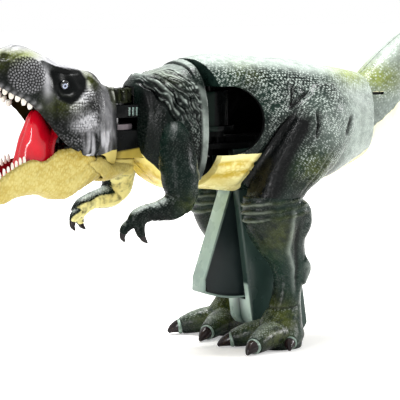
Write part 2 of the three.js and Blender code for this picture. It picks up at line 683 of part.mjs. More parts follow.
// Chest shells, with a hood over the neck joint and an open rim at the waist
const chest = [
  { x: -79.6, top: 143.6, floor: 113, half: 11, wide: 128 },
  { x: -78, top: 146.2, floor: 107, half: 15.5, wide: 127 },
  { x: -75, top: 148.3, floor: 103, half: 19, wide: 126 },
  { x: -70, top: 149.6, floor: 96.8, half: 23, wide: 124 },
  { x: -64, top: 151, floor: 90.4, half: 26.4, wide: 122 },
  { x: -56, top: 153, floor: 87, half: 28.4, wide: 121.5 },
  { x: CHEST_RIM_X, top: 156.4, floor: 86.6, half: 28.8, wide: 121.5 },
];
const chestHollow = [
  { ...chest[0], x: chest[0].x + WALL },
  ...chest.slice(2, -1),
  { ...chest[chest.length - 1], x: CHEST_RIM_X + 1 },
];
const shoulder = { x: -59.6, z: 114, r: 3.6 };

function chestShell(side) {
  const outer = alongX(chest, 0, 20);
  const shell = outer.subtract(alongX(chestHollow, -WALL, 20)).intersect(half(side));
  const yokeRoom = YOKE_R + 2 * FIT;
  return cut(
    withBosses(shell, outer.intersect(half(side)), side, chestScrews),
    box(-90, -68, -TONGUE_R - FIT, TONGUE_R + FIT, TONGUE_FLOOR - FIT, TONGUE_TOP + FIT),
    postZ(yokeRoom, YOKE_FLOOR - 6, TONGUE_FLOOR + 1, NECK_AXIS_X, 0, 20),
    postZ(yokeRoom, TONGUE_TOP - 1, YOKE_TOP + FIT, NECK_AXIS_X, 0, 20),
    rodY(shoulder.r + FIT, 10 * side, 40 * side, shoulder.x, shoulder.z, 16),
  );
}

// Chest frame: the black piece that turns on the body's pin and carries the neck tongue
function chestFrame() {
  const bulkhead = box(-67, -63.6, -40, 40, 80, 160)
    .intersect(alongX(chestHollow, -WALL - FIT, 20));
  const knuckle = union(
    postZ(14.4, CRANK_Z, CRANK_TOP, CHEST_AXIS_X, 0, 20),
    box(-66, CHEST_AXIS_X, -13, 13, CRANK_Z, CRANK_TOP),
    postZ(11, CRANK_Z, KNUCKLE_TOP, CHEST_AXIS_X, 0, 20),
    box(-66, CHEST_AXIS_X, -11, 11, CRANK_Z, KNUCKLE_TOP),
  );
  const pocket = box(-62, CHEST_AXIS_X - 6, -8.6, 8.6, CRANK_TOP, CRANK_TOP + 30);
  const crank = postZ(CRANK_PIN_R, SLIDER_Z + 0.2, CRANK_Z + 1, chestPin.x, chestPin.y, 12);
  const tongue = union(
    postZ(TONGUE_R, TONGUE_FLOOR, TONGUE_TOP, NECK_AXIS_X, 0, 20),
    box(NECK_AXIS_X, -64, -TONGUE_R, TONGUE_R, TONGUE_FLOOR, TONGUE_TOP),
  );
  const anchor = postZ(CRANK_PIN_R, TONGUE_TOP - 1, JAW_LINK_TOP - 0.2, jawAnchor.x, jawAnchor.y, 12);
  const neckSlot = box(-110, -72, -20, 20, NECK_SLOT_Z, NECK_SLOT_TOP);
  const linkRoom = union(
    box(-80, -52, 3.6, TONGUE_R - 0.4, NECK_LINK_Z - LEVEL_GAP, NECK_SLOT_TOP),
    box(-61, -51.4, -TONGUE_R - 0.2, TONGUE_R + 0.2, LINK_Z - 2, NECK_SLOT_TOP),
    box(-61, -20, -TONGUE_R - 0.2, -3.6, LINK_Z - 2, CRANK_Z),
  );
  return cut(
    union(bulkhead, knuckle.subtract(pocket), crank, tongue, anchor),
    neckSlot,
    linkRoom,
    postZ(PIN_R + FIT, 90, 160, CHEST_AXIS_X, 0, 12),
    postZ(PIN_R + FIT, 90, 160, NECK_AXIS_X, 0, 12),
  );
}

// Neck link: pinned beside the chest's axis, it slides in the chest and turns the head
function neckLink() {
  const eye = CRANK_PIN_R + PLAY + 1.6;
  const rear = union(
    postZ(eye, LINK_Z, LINK_TOP, linkAnchor.x, linkAnchor.y, 18),
    box(-58, linkAnchor.x, linkAnchor.y - 2.4, linkAnchor.y + 2.4, LINK_Z, LINK_TOP),
  );
  const riser = box(-58, -54.4, linkAnchor.y - 2.4, neckPin.y + 2.4, LINK_Z, NECK_LINK_Z + DECK);
  const front = union(
    postZ(eye, NECK_LINK_Z, NECK_LINK_Z + DECK, neckPin.x, neckPin.y - 0.4, 18),
    box(neckPin.x, -55, neckPin.y - 2.6, neckPin.y + 2.2, NECK_LINK_Z, NECK_LINK_Z + DECK),
  );
  const hole = (pin, z) => union(
    postZ(CRANK_PIN_R + PLAY, z - 1, z + DECK + 1, pin.x, pin.y, 14),
    postZ(CRANK_PIN_R + PLAY, z - 1, z + DECK + 1, pin.x, pin.y * 1.02, 14),
  );
  return cut(union(rear, riser, front), hole(linkAnchor, LINK_Z), hole(neckPin, NECK_LINK_Z));
}

// Arms: upper arm, forearm and a hand with two clawed fingers
const armPath = [
  [-63.5, 24, 123, 6.5], [-65.5, 28.5, 115, 9.2], [-67, 32, 104, 10.2], [-67.2, 34, 94.5, 9.8],
  [-68, 34.8, 86.8, 8.4], [-72.5, 34.2, 81.8, 7], [-79, 33, 80.2, 5.6], [-85.5, 32, 79.4, 4.8],
  [-91, 31.2, 76.8, 4.8], [-94.5, 30.8, 73, 4],
];
const fingers = [
  [[-92.5, 29.6, 75, 3.1], [-97.4, 28.6, 71.4, 2.6], [-98.8, 28, 67.6, 1.9], [-97, 27.8, 64, 0.7]],
  [[-91, 32.6, 74.6, 3.1], [-91.4, 34, 70, 2.6], [-90, 34.4, 66.4, 1.9], [-87, 34.4, 63.6, 0.7]],
];

function arm(side) {
  const skinGap = alongX(chest, FIT, 20);
  const peg = rodY(shoulder.r, 21 * side, 30 * side, shoulder.x, shoulder.z, 14);
  const upper = alongPath(armPath, side, 12).subtract(skinGap);
  return union(upper, peg, ...fingers.map((finger) => alongPath(finger, side, 6)));
}

// Head shells: skull, snout and cheeks, open below for the jaw and behind for the tongue
const head = [
  { x: HEAD_REAR_X, top: YOKE_TOP, floor: YOKE_FLOOR, half: 13, up: 3.4 },
  { x: -98, top: 145.6, floor: YOKE_FLOOR, half: 15, up: 3.2 },
  { x: -104, top: 151.8, floor: 98.6, half: 17.6 },
  { x: -110, top: 153.2, floor: 103.4, half: 19.2, wide: 121, down: 3 },
  { x: -116, top: 155.4, floor: 107, half: 19.8, wide: 122, down: 4 },
  { x: -122, top: 157.8, floor: 111.6, half: 19.4, wide: 124, down: 5 },
  { x: -128, top: 160.2, floor: 117.6, half: 18, wide: 128, down: 6 },
  { x: -134, top: 162.7, floor: 125.6, half: 16.4, wide: 134, down: 6 },
  { x: -140, top: 165.4, floor: 133, half: 15.2, wide: 140, down: 6 },
  { x: -146, top: 167.2, floor: 138.2, half: 14.4, wide: 144, down: 6 },
  { x: -152, top: 165.8, floor: 141.4, half: 13.2, wide: 147, down: 6 },
  { x: -158, top: 162.6, floor: 145, half: 11.6, wide: 150, down: 6 },
  { x: -164, top: 159, floor: 147.6, half: 9, wide: 151.6, down: 5 },
  { x: -168.6, top: 155.6, floor: 149.4, half: 5.4, wide: 152 },
  { x: SNOUT_TIP_X, top: 153.6, floor: 151, half: 2.4 },
];
const headHollow = head.slice(0, -2).map((s) => {
  const drop = s.x < MOUTH_X ? 24 : 0;
  return { ...s, floor: s.floor - drop, down: drop ? 8 : 2.4, x: s.x === HEAD_REAR_X ? HEAD_REAR_X + 3 : s.x };
});

function yoke(z0, z1) {
  return union(
    postZ(YOKE_R, z0, z1, NECK_AXIS_X, 0, 20),
    floorPlate([[NECK_AXIS_X, -YOKE_R], [NECK_AXIS_X, YOKE_R], [-97, 12.4], [-97, -12.4]], z0, z1),
  );
}

const eyeSeat = { x: -124.7, z: 146, from: 12.6, to: 18.6, r: 3 };

function headShell(side) {
  const outer = alongX(head, 0, 16);
  const inner = alongX(headHollow, -WALL + 0.2, 16);
  const yokes = union(
    yoke(JAW_LINK_TOP + LEVEL_GAP, YOKE_TOP),
    yoke(YOKE_FLOOR, TONGUE_FLOOR - LEVEL_GAP),
  );
  const pinBoss = rodY(PIN_R + BOSS_WALL, side * 16.4, side * 30, JAW_AXIS_X, JAW_AXIS_Z, 16)
    .intersect(outer);
  const shell = union(outer.subtract(inner), yokes, pinBoss).intersect(half(side));
  return cut(
    withBosses(shell, outer.intersect(half(side)), side, headScrews),
    postZ(PIN_R + FIT, YOKE_FLOOR + 1.4, YOKE_TOP - 1.4, NECK_AXIS_X, 0, 12),
    rodY(PIN_R + FIT, -18.4, 18.4, JAW_AXIS_X, JAW_AXIS_Z, 16),
    rodY(eyeSeat.r + FIT, side * eyeSeat.from - side, side * 30, eyeSeat.x, eyeSeat.z, 18),
  );
}

function eye(side) {
  const length = eyeSeat.to - eyeSeat.from;
  const profile = [
    [0, 0], [eyeSeat.r, 0], [eyeSeat.r, length - 1.6], [2.5, length - 0.8], [1.5, length - 0.2], [0, length],
  ].map(([r, h]) => new THREE.Vector2(r, h));
  const geometry = new THREE.LatheGeometry(profile, 18);
  if (side < 0) {
    geometry.rotateX(Math.PI);
  }
  geometry.translate(eyeSeat.x, side * eyeSeat.from, eyeSeat.z);
  return toSolid(geometry);
}

// Neck crank: a plate in the tongue's slot, fixed in the head, that the neck link pushes
function neckCrank() {
  const z0 = NECK_SLOT_Z + LEVEL_GAP;
  const z1 = z0 + DECK;
  const plate = union(
    postZ(YOKE_R - 0.6, z0, z1, NECK_AXIS_X, 0, 18),
    box(-100, NECK_AXIS_X, -7.6, 7.6, z0, z1),
    box(-102.6, -98.6, -30, 30, z0 - 3, z1 + 3),
  ).intersect(union(alongX(headHollow, -WALL - 0.1, 16), postZ(YOKE_R, z0, z1, NECK_AXIS_X, 0, 20)));
  const pin = postZ(CRANK_PIN_R, z1 - 1, NECK_LINK_Z + DECK - 0.2, neckPin.x, neckPin.y, 12);
  return union(plate, pin).subtract(postZ(PIN_R + FIT, 90, 160, NECK_AXIS_X, 0, 12));
}

// Teeth stand on a gum strip; each is a cone of five sides
function tooth(x, y, z, tall, radius, tilt, down) {
  const geometry = new THREE.ConeGeometry(radius, tall, 5);
  geometry.translate(0, tall / 2 - 1, 0);
  geometry.rotateX(down ? -Math.PI / 2 : Math.PI / 2);
  geometry.rotateY(tilt);
  geometry.translate(x, y, z);
  return toSolid(geometry);
}

// Heights and half widths along a jaw, found between its stations
function between(stations, x, key) {
  const list = [...stations].sort((a, b) => a.x - b.x);
  const i = Math.max(1, list.findIndex((s) => s.x >= x));
  const [a, b] = [list[i - 1], list[i]];
  return a[key] + ((b[key] - a[key]) * (x - a.x)) / (b.x - a.x);
}

// The space inside an arch of gum, between a jaw's stations
function archRoom(xs, stations, thickness, z0, z1, grow = 0) {
  const side = xs.map((x) => [x, between(stations, x, 'half') - thickness + grow]);
  return floorPlate([...side, ...side.slice().reverse().map(([x, y]) => [x, -y])], z0, z1);
}

const upperToothX = { rear: -143, front: -162 };

function upperTeeth() {
  const rim = (x, up) => [x, between(head, x, 'floor') + up];
  const stripX = [-140.6, -146, -152, -158, -163.8];
  const strip = [...stripX.map((x) => rim(x, 0.5)), ...stripX.reverse().map((x) => rim(x, 3.4))];
  const room = alongX(headHollow, -WALL - 0.1, 16);
  const middle = archRoom([-159.5, -152, -146, -130], head, WALL + GUM_WIDTH, 120, 160);
  let solid = sidePlate(strip, -16, 16).intersect(room).subtract(middle);
  const gap = (upperToothX.front - upperToothX.rear) / (UPPER_TOOTH_COUNT - 1);
  for (let i = 0; i < UPPER_TOOTH_COUNT; i += 1) {
    const x = upperToothX.rear + gap * i;
    const y = Math.min(between(head, x, 'half') - WALL - 1.5, 20);
    const z = between(head, x, 'floor') + 0.6;
    const tall = 6 + (i % 2);
    solid = union(solid, tooth(x, y, z, tall, 1.25, -0.35, true), tooth(x, -y, z, tall, 1.25, -0.35, true));
  }
  return union(
    solid,
    tooth(-162.6, 1.9, 148, 5.4, 1.1, -0.35, true),
    tooth(-162.6, -1.9, 148, 5.4, 1.1, -0.35, true),
  );
}

// Lower jaw: a tray with hinge cheeks, a lever rib and a red lining, drawn open
const jaw = [
  { x: -101.4, top: 103.6, floor: 95.4, half: 11.6 },
  { x: -105, top: 110, floor: 94, half: 14 },
  { x: -109.5, top: 116.4, floor: 92, half: 15.6, down: 3 },
  { x: -114.5, top: 117.4, floor: 89, half: 16, wide: 102, up: 8, down: 3 },
  { x: -120, top: 114.4, floor: 86.2, half: 15.4, wide: 102, up: 8, down: 3 },
  { x: -127.5, top: 112.6, floor: 85.8, half: 14, wide: 102, up: 8, down: 3 },
  { x: -134.5, top: 107.8, floor: 88.4, half: 13.2, wide: 102, up: 8, down: 3 },
  { x: -141, top: 108, floor: 88.8, half: 12.4, wide: 101, up: 8, down: 3 },
  { x: -148, top: 106, floor: 87.4, half: 11.6, wide: 99, up: 8, down: 3 },
  { x: -155, top: 101.6, floor: 84.9, half: 10.6, wide: 95, up: 8, down: 3 },
  { x: -161, top: 97.4, floor: 84.6, half: 8.8, wide: 92, up: 6, down: 3 },
  { x: -165.6, top: 94.4, floor: 85.8, half: 6.2, wide: 90, up: 5, down: 3 },
  { x: -168.6, top: 91.6, floor: 87.4, half: 3 },
];
const jawHollow = jaw.slice(1, -1).map((s) => ({ ...s, top: s.top + 20, up: 8 }));

function lowerJaw() {
  const outer = alongX(jaw, 0, 16);
  const tray = outer.subtract(alongX(jawHollow, -WALL, 16));
  const rib = sidePlate([
    [-119, 88], [-108, 92], [-109, leverPin.z + 2.3], [-117, leverPin.z + 2.3],
  ], -1.9, 1.9);
  const hubs = rodY(5, -16.2, 16.2, JAW_AXIS_X, JAW_AXIS_Z, 20).intersect(outer)
    .subtract(box(-130, -100, -12.4, 12.4, 90, 130));
  const lever = rodY(LEVER_PIN_R, 1, 6.9, leverPin.x, leverPin.z, 12);
  return union(tray, rib, hubs, lever)
    .subtract(rodY(PIN_R + FIT, -20, 20, JAW_AXIS_X, JAW_AXIS_Z, 16));
}

// Tongue: fills the tray from side to side and rises in a hollow hump behind the teeth
function tongue() {
  const rise = [
    [-157, 90], [-154, 96], [-150.4, 104], [-147.2, 114], [-144.6, 122], [-139.4, 129.6],
    [-134.4, 131.6], [-129.6, 127], [-126, 118], [-124.6, 106], [-124, 90],
  ];
  const bed = [
    [-162, 89], [-160, 93], [-152, 98], [-146, 102], [-132, 103], [-124, 104], [-124, 90],
  ];
  const inTray = alongX(jawHollow, -WALL - FIT, 16);
  const above = box(-200, -100, -20, 20, 108, 200);
  const hump = sidePlate(rise, -TONGUE_HALF, TONGUE_HALF).intersect(inTray.add(above));
  const hollow = sidePlate(inset(rise, 1.8), -TONGUE_HALF + 1.8, TONGUE_HALF - 1.8)
    .add(box(-152, -126, -5, 5, 80, 100));
  const gumRoom = union(lowerGum(FIT), box(-160, -143, -12, -TONGUE_HALF + 1.6, 104, 112),
    box(-160, -143, TONGUE_HALF - 1.6, 12, 104, 112));
  return cut(hump.add(sidePlate(bed, -16, 16).intersect(inTray)), hollow, gumRoom);
}

function lowerGum(grow) {
  const rim = (x, up) => [x, between(jaw, x, 'top') + up];
  const stripX = [-144 + grow, -148, -155, -161, -164.4];
  const under = stripX.map((x) => rim(x, -2.6 - grow));
  const over = stripX.map((x) => rim(x, 0.4 + grow)).reverse();
  const room = alongX(jawHollow, -WALL - FIT + grow, 16);
  const middle = archRoom([-159.5, -155, -148, -140], jaw, WALL + GUM_WIDTH - 0.6, 60, 140, -grow);
  return sidePlate([...under, ...over], -16, 16).intersect(room).subtract(middle);
}

function lowerTeeth() {
  let solid = lowerGum(0);
  for (let i = 0; i < LOWER_TOOTH_COUNT; i += 1) {
    const x = -145.4 - 2.5 * i;
    const y = between(jaw, x, 'half') - WALL - 1.3;
    const z = between(jaw, x, 'top') - 0.4;
    const tall = 5 + (i % 2);
    solid = union(solid, tooth(x, y, z, tall, 1, -0.3, false), tooth(x, -y, z, tall, 1, -0.3, false));
  }
  return solid;
}

// Jaw link: pinned beside the neck's axis, it slides in the head and pulls the jaw's lever
function jawLink() {
  const eyeR = CRANK_PIN_R + PLAY + 1.5;
  const { y } = jawAnchor;
  const top = union(
    postZ(eyeR, JAW_LINK_Z, JAW_LINK_TOP, jawAnchor.x, y, 18),
    box(-110, jawAnchor.x, 3.8, 7.2, JAW_LINK_Z, JAW_LINK_TOP),
  );
  const legPlate = box(-110, -106.4, 3.8, 6.9, JAW_AXIS_Z + 3.6, JAW_LINK_TOP);
  const foot = box(-119, -106.4, 3.8, 6.9, JAW_AXIS_Z + 3.6, JAW_AXIS_Z + 9);
  const fork = box(
    leverPin.x - LEVER_PIN_R - PLAY, leverPin.x + LEVER_PIN_R + PLAY, 3, 8,
    JAW_AXIS_Z, JAW_AXIS_Z + JAW_LEVER + LEVER_PIN_R + PLAY);
  const hole = union(
    postZ(CRANK_PIN_R + PLAY, JAW_LINK_Z - 1, JAW_LINK_TOP + 1, jawAnchor.x, y, 14),
    postZ(CRANK_PIN_R + PLAY, JAW_LINK_Z - 1, JAW_LINK_TOP + 1, jawAnchor.x, y * 1.02, 14),
  );
  return cut(union(top, legPlate, foot), fork, hole);
}

// Tail shells, thick at the root and drawn up to a point
const tail = [
  { at: 0, z: 122.6, tilt: 0, wide: 15.4, tall: 20.6 },
  { at: 0.049, z: 122.8, tilt: 3, wide: 15.8, tall: 20.8 },
  { at: 0.11, z: 125.6, tilt: 16, wide: 15.8, tall: 20.2 },
  { at: 0.179, z: 131.6, tilt: 34, wide: 15.2, tall: 18.6 },
  { at: 0.253, z: 140.6, tilt: 46, wide: 14.2, tall: 17 },
  { at: 0.348, z: 152.4, tilt: 47, wide: 12, tall: 14.4 },
  { at: 0.467, z: 165.2, tilt: 42, wide: 9.4, tall: 11.2 },
  { at: 0.604, z: 176.6, tilt: 32, wide: 6.8, tall: 8 },
  { at: 0.76, z: 185.6, tilt: 23, wide: 4.4, tall: 5 },
  { at: 0.897, z: 190.6, tilt: 14, wide: 2.4, tall: 2.8 },
  { at: 1, z: 192.6, tilt: 8, wide: 0.9, tall: 1 },
].map((station) => ({ ...station, x: TAIL_ROOT_X + station.at * TAIL_LENGTH }));
const tailHollow = [{ ...tail[0], x: TAIL_ROOT_X - 1 }, ...tail.slice(1, 8)];

function tailShell(side) {
  const outer = alongTail(tail);
  const shell = outer.subtract(alongTail(tailHollow, -WALL)).intersect(half(side));
  return cut(
    withBosses(shell, outer.intersect(half(side)), side, tailScrews),
    box(55, TAIL_ROOT_X + 5.6, -20, 7, SLIDER_Z - LEVEL_GAP, CRANK_TOP + LEVEL_GAP),
    postZ(PIN_R + BOSS_WALL + PLAY, 95, 150, TAIL_AXIS_X, 0, 20),
  );
}

// Tail crank: turns on the body's rear pin and carries the tail shells
function tailCrank() {
  const plate = union(
    postZ(6, CRANK_Z - DECK, CRANK_TOP, TAIL_AXIS_X, 0, 16),
    floorPlate([
      [TAIL_AXIS_X - 4.6, 0], [tailPin.x - 3, tailPin.y - 0.6], [tailPin.x + 3, tailPin.y - 0.6],
      [TAIL_AXIS_X + 5.6, 0],
    ], CRANK_Z - DECK, CRANK_Z),
    postZ(3.1, CRANK_Z - DECK, CRANK_Z, tailPin.x, tailPin.y, 16),
  );
  const hub = postZ(6, CRANK_Z, 138, TAIL_AXIS_X, 0, 16);
  const web = box(TAIL_AXIS_X, 70, -4, 4, CRANK_Z, 136);
  const bulkhead = box(66.5, 70, -30, 30, 90, 160).intersect(alongTail(tailHollow, -WALL - FIT));
  const crank = postZ(CRANK_PIN_R, SLIDER_Z + 0.2, CRANK_Z, tailPin.x, tailPin.y, 12);
  return union(plate, hub, web, bulkhead, crank)
    .subtract(postZ(PIN_R + FIT, 90, 160, TAIL_AXIS_X, 0, 12));
}

// The scene graph: one group for each moving body, at its joint
const toy = new THREE.Group();

function jointGroup(parent, x, y, z) {
  const group = new THREE.Group();
  const origin = parent.userData.origin ?? [0, 0, 0];
  group.position.set(x - origin[0], y - origin[1], z - origin[2]);
  group.userData.origin = [x, y, z];
  parent.add(group);
  return group;
}

function place(group, name, solid, finish) {
  const geometry = toGeometry(solid);
  const [x, y, z] = group.userData.origin ?? [0, 0, 0];
  geometry.translate(-x, -y, -z);
  const mesh = new THREE.Mesh(geometry, new THREE.MeshStandardMaterial(finish));
  mesh.name = name;
  group.add(mesh);
}

const triggerGroup = jointGroup(toy, TRIGGER_AXIS_X, 0, TRIGGER_AXIS_Z);
const sliderGroup = jointGroup(toy, 0, 0, SLIDER_Z);
const chestGroup = jointGroup(toy, CHEST_AXIS_X, 0, CRANK_Z);
const linkGroup = jointGroup(chestGroup, CHEST_AXIS_X, 0, LINK_Z);
const headGroup = jointGroup(chestGroup, NECK_AXIS_X, 0, NECK_SLOT_Z);
const jawLinkGroup = jointGroup(headGroup, NECK_AXIS_X, 0, JAW_LINK_Z);
const jawGroup = jointGroup(headGroup, JAW_AXIS_X, 0, JAW_AXIS_Z);
const tailGroup = jointGroup(toy, TAIL_AXIS_X, 0, CRANK_Z);

for (const [word, side] of [['left', -1], ['right', 1]]) {
  place(toy, `body_shell_${word}`, bodyShell(side), GREEN);
  place(toy, `grip_shell_${word}`, gripShell(side), SAGE);
  place(toy, `leg_${word}`, leg(side), GREEN);
  place(chestGroup, `chest_shell_${word}`, chestShell(side), GREEN);
  place(chestGroup, `arm_${word}`, arm(side), GREEN);
  place(headGroup, `head_shell_${word}`, headShell(side), OLIVE_BLACK);
  place(headGroup, `eye_${word}`, eye(side), EYE);
  place(tailGroup, `tail_shell_${word}`, tailShell(side), GREEN);
}

place(toy, 'inner_frame', innerFrame(), BLACK);
place(toy, 'trigger_pin',
  rodY(PIN_R, -TRIGGER_PIN_HALF, TRIGGER_PIN_HALF, TRIGGER_AXIS_X, TRIGGER_AXIS_Z), STEEL);
place(toy, 'trigger_spring', spring(), STEEL);
place(toy, 'chest_pin', postZ(PIN_R, PIN_FLOOR, CHEST_PIN_TOP, CHEST_AXIS_X, 0), STEEL);
place(toy, 'tail_pin', postZ(PIN_R, PIN_FLOOR, TAIL_PIN_TOP, TAIL_AXIS_X, 0), STEEL);
place(triggerGroup, 'trigger', trigger(), SAGE);
place(sliderGroup, 'drive_slider', slider(), BLACK);
place(chestGroup, 'chest_frame', chestFrame(), BLACK);
place(chestGroup, 'neck_pin', postZ(PIN_R, YOKE_FLOOR + 1.8, YOKE_TOP - 1.8, NECK_AXIS_X, 0), STEEL);
place(linkGroup, 'neck_link', neckLink(), BLACK);
place(headGroup, 'neck_crank', neckCrank(), BLACK);
place(headGroup, 'upper_teeth', upperTeeth(), IVORY);
place(headGroup, 'jaw_pin', rodY(PIN_R, -18, 18, JAW_AXIS_X, JAW_AXIS_Z), STEEL);
place(jawLinkGroup, 'jaw_link', jawLink(), BLACK);
place(jawGroup, 'lower_jaw', lowerJaw(), CREAM);
place(jawGroup, 'tongue', tongue(), RED);
place(jawGroup, 'lower_teeth', lowerTeeth(), IVORY);
place(tailGroup, 'tail_crank', tailCrank(), BLACK);

for (const [group, screws] of [
  [toy, bodyScrews], [toy, gripScrews], [chestGroup, chestScrews], [headGroup, headScrews],
  [tailGroup, tailScrews],
]) {
  for (const row of screws) {
    place(group, row.name, screw(row), STEEL);
  }
}

export default toy;
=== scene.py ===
"""Looks of the dinosaur fidget toy: sculpted skins, paint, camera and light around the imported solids.

Shapes are worked out in millimetres in the toy's own frame (the head points along -X, the tail along +X,
the near side is -Y, the ground is Z = 0) and turned into metres when they go into a mesh.
"""

import itertools
import math

import bpy
import numpy as np
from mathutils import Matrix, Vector

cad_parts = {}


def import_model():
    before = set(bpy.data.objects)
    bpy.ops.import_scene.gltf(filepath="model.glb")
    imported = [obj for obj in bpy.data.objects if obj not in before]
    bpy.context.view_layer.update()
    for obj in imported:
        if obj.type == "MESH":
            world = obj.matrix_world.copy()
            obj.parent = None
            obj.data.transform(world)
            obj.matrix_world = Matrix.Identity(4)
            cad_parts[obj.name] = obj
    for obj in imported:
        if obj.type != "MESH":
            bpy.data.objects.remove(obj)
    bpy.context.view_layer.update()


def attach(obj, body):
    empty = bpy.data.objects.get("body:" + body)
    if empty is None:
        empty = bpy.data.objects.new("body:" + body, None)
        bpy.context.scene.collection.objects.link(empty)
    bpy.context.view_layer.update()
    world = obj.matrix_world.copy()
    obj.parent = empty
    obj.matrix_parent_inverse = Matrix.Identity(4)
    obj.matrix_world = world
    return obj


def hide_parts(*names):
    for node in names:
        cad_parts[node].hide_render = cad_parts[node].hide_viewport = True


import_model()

MM = 0.001
FAR = 400
SEAM_HALF = 0.12
GOLDEN_ANGLE = math.pi * (3 - math.sqrt(5))
SOFT_OVAL = 2.2
WALL = 2.4
SIDES = {"left": -1, "right": 1}

CHEST_AXIS_X = -30
NECK_AXIS_X = -87
TAIL_AXIS_X = 58
TRIGGER_AXIS = (-13, 92)
JAW_AXIS = (-113, 111)
SWING = math.radians(24)
NOSE_R = 16.2
WAIST_TOP = 143
WAIST_FLOOR = 106.3
WAIST_REAR_X = -13.1
GRIP_HALF = 12
GRIP_TOP = 108.3
TRIGGER_HALF = 6.3
ABOVE_ALL = 200
YOKE_R = 9.3
YOKE_ROOM_R = 9.9
# Heights of the head's two yoke plates, above and below the neck tongue
YOKE_LEVELS = ((134.8, 143.2), (97.2, 105.6))
EYE_CENTRE = (-124.7, 14, 146)
EYE_R = 2.7
IRIS_CENTRE = (-125.2, 145.6)
IRIS_RINGS = (0.5, 0.8, 1.2, 1.5)
CAMERA_PLACE = (-0.6849, -1.0960, 0.2204)
CAMERA_AIM = (-0.0257, 0.0160, 0.0781)
CAMERA_LENS = 212.7
# Name, place, target, size and power
LAMPS = (
    ("top", (-0.1, 0.2, 1.2), (0, 0, 0.1), (0.55, 0.35), 24),
    ("front_strip", (-1.1, -0.65, 0.3), (-0.08, 0, 0.1), (0.14, 0.9), 9),
    ("rear_side", (1.1, -0.7, 0.55), (0.03, 0, 0.1), (0.35, 0.4), 16),
)


def section(x, top, floor, half, wide=None, up=2.4, down=2.4):
    """One section square to X: heights, half width, height of the widest place, how boxy it is"""
    return x, top, floor, half, (top + floor) / 2 if wide is None else wide, up, down


TORSO = (
    section(-48, 157.2, 87.4, 23.5),
    section(-36, 158.7, 86.4, 27.5),
    section(-20, 158.9, 84.6, 30),
    section(0, 157.6, 84, 32.5),
    section(20, 155.4, 84.8, 33),
    section(38, 152.8, 88, 30.5),
    section(52, 149.8, 93.4, 26),
    section(64, 147, 98.6, 22.4),
)
TORSO_HOLLOW = (section(-43.8, 157.2, 87.4, 23.5), *TORSO[1:-1], section(66, 147, 98.6, 22.4))
# height, front, rear, Y and half width
THIGH = (
    (143, 17, 34, 23, 8), (133, 6, 43, 25, 13.5), (120, -2, 45.5, 25.5, 16.3), (106, -10, 37, 26, 16.6),
    (94, -16.5, 25, 26.5, 15.2), (86, -19.6, 14.6, 27, 13.6), (81.6, -20.4, 11.6, 27, 13),
)
THIGH_HOLLOW = (*THIGH[1:-1], (80.6, -20.4, 11.6, 27, 13))
SHANK = (
    (83.7, -22.6, 9, 27, 12.6), (76, -23, 16.5, 27, 12.8), (69, -22, 17, 27, 12.2),
    (60, -18, 14, 26.7, 10.6), (51, -11, 14.5, 26.4, 9), (43, -4.6, 16.5, 26.2, 8),
    (33, -3.3, 12.3, 26.2, 7.4), (24, -6, 11.6, 26.4, 7.6), (15, -12, 11.8, 27, 9.2),
    (7, -15, 12, 27.5, 10.4), (0, -12, 11, 27.5, 9.4),
)
# Each toe is a path of (x, y, z, radius), and its last point is the claw's root
TOES = (
    ((2, 26, 9, 8), (-8, 21, 8.4, 7.4), (-14, 18, 7.6, 6.6), (-19, 15.2, 6, 5.6),
     (-22.5, 13.2, 4.8, 4.6)),
    ((2, 28, 9, 8), (-8, 31.5, 8.4, 7.6), (-15, 34.5, 7.6, 6.8), (-20.5, 37.2, 6, 5.7),
     (-24.5, 39, 4.8, 4.7)),
    ((6, 28, 8, 7.4), (3, 32, 7, 6.4), (0.6, 35, 5.4, 5.2), (-0.8, 36.8, 4.4, 4.4)),
)
CLAWS = (
    ((-20.5, 14.4, 5, 4.1), (-24, 12.4, 4.4, 3.6), (-27.4, 10.6, 2.8, 2.3), (-29.6, 9.4, 1.2, 0.9)),
    ((-22.5, 38, 5, 4.2), (-26.4, 39.9, 4.4, 3.6), (-29.4, 41.3, 2.8, 2.2), (-31, 42, 1.2, 0.9)),
    ((0, 36, 4.6, 3.9), (-1.6, 38, 4, 3.3), (-2.9, 40, 2.6, 2), (-3.8, 41.6, 1.2, 0.9)),
)
CHEST = (
    section(-79.6, 143.6, 113, 11, 128), section(-78, 146.2, 107, 15.5, 127),
    section(-75, 148.3, 103, 19, 126), section(-70, 149.6, 96.8, 23, 124),
    section(-64, 151, 90.4, 26.4, 122), section(-56, 153, 87, 28.4, 121.5),
    section(-46.8, 156.4, 86.6, 28.8, 121.5),
)
CHEST_HOLLOW = (section(-77.2, 143.6, 113, 11, 128), *CHEST[2:-1], section(-44, 156.8, 86.6, 28.8, 121.5))
ARM = (
    (-62.5, 18, 127, 4), (-65, 25, 117.5, 8), (-67, 31.2, 105, 10), (-67.2, 34, 94.5, 9.8),
    (-68, 34.8, 86.8, 8.4), (-72.5, 34.2, 81.8, 7), (-79, 33, 80.2, 5.6), (-85.5, 32, 79.4, 4.8),
    (-91, 31.2, 76.8, 4.8), (-94.5, 30.8, 73, 4),
)
FINGERS = (
    ((-92.5, 29.6, 75, 3.1), (-97.4, 28.6, 71.4, 2.6), (-98.4, 28.2, 68.8, 2.1)),
    ((-91, 32.6, 74.6, 3.1), (-91.4, 34, 70, 2.6), (-90.4, 34.3, 67.4, 2.1)),
)
FINGER_CLAWS = (
    ((-98.3, 28.3, 69.6, 1.9), (-98.6, 28, 67, 1.5), (-97.2, 27.8, 64.4, 0.5)),
    ((-90.8, 34.2, 68.2, 1.9), (-89.6, 34.4, 66, 1.5), (-87.4, 34.4, 63.9, 0.5)),
)
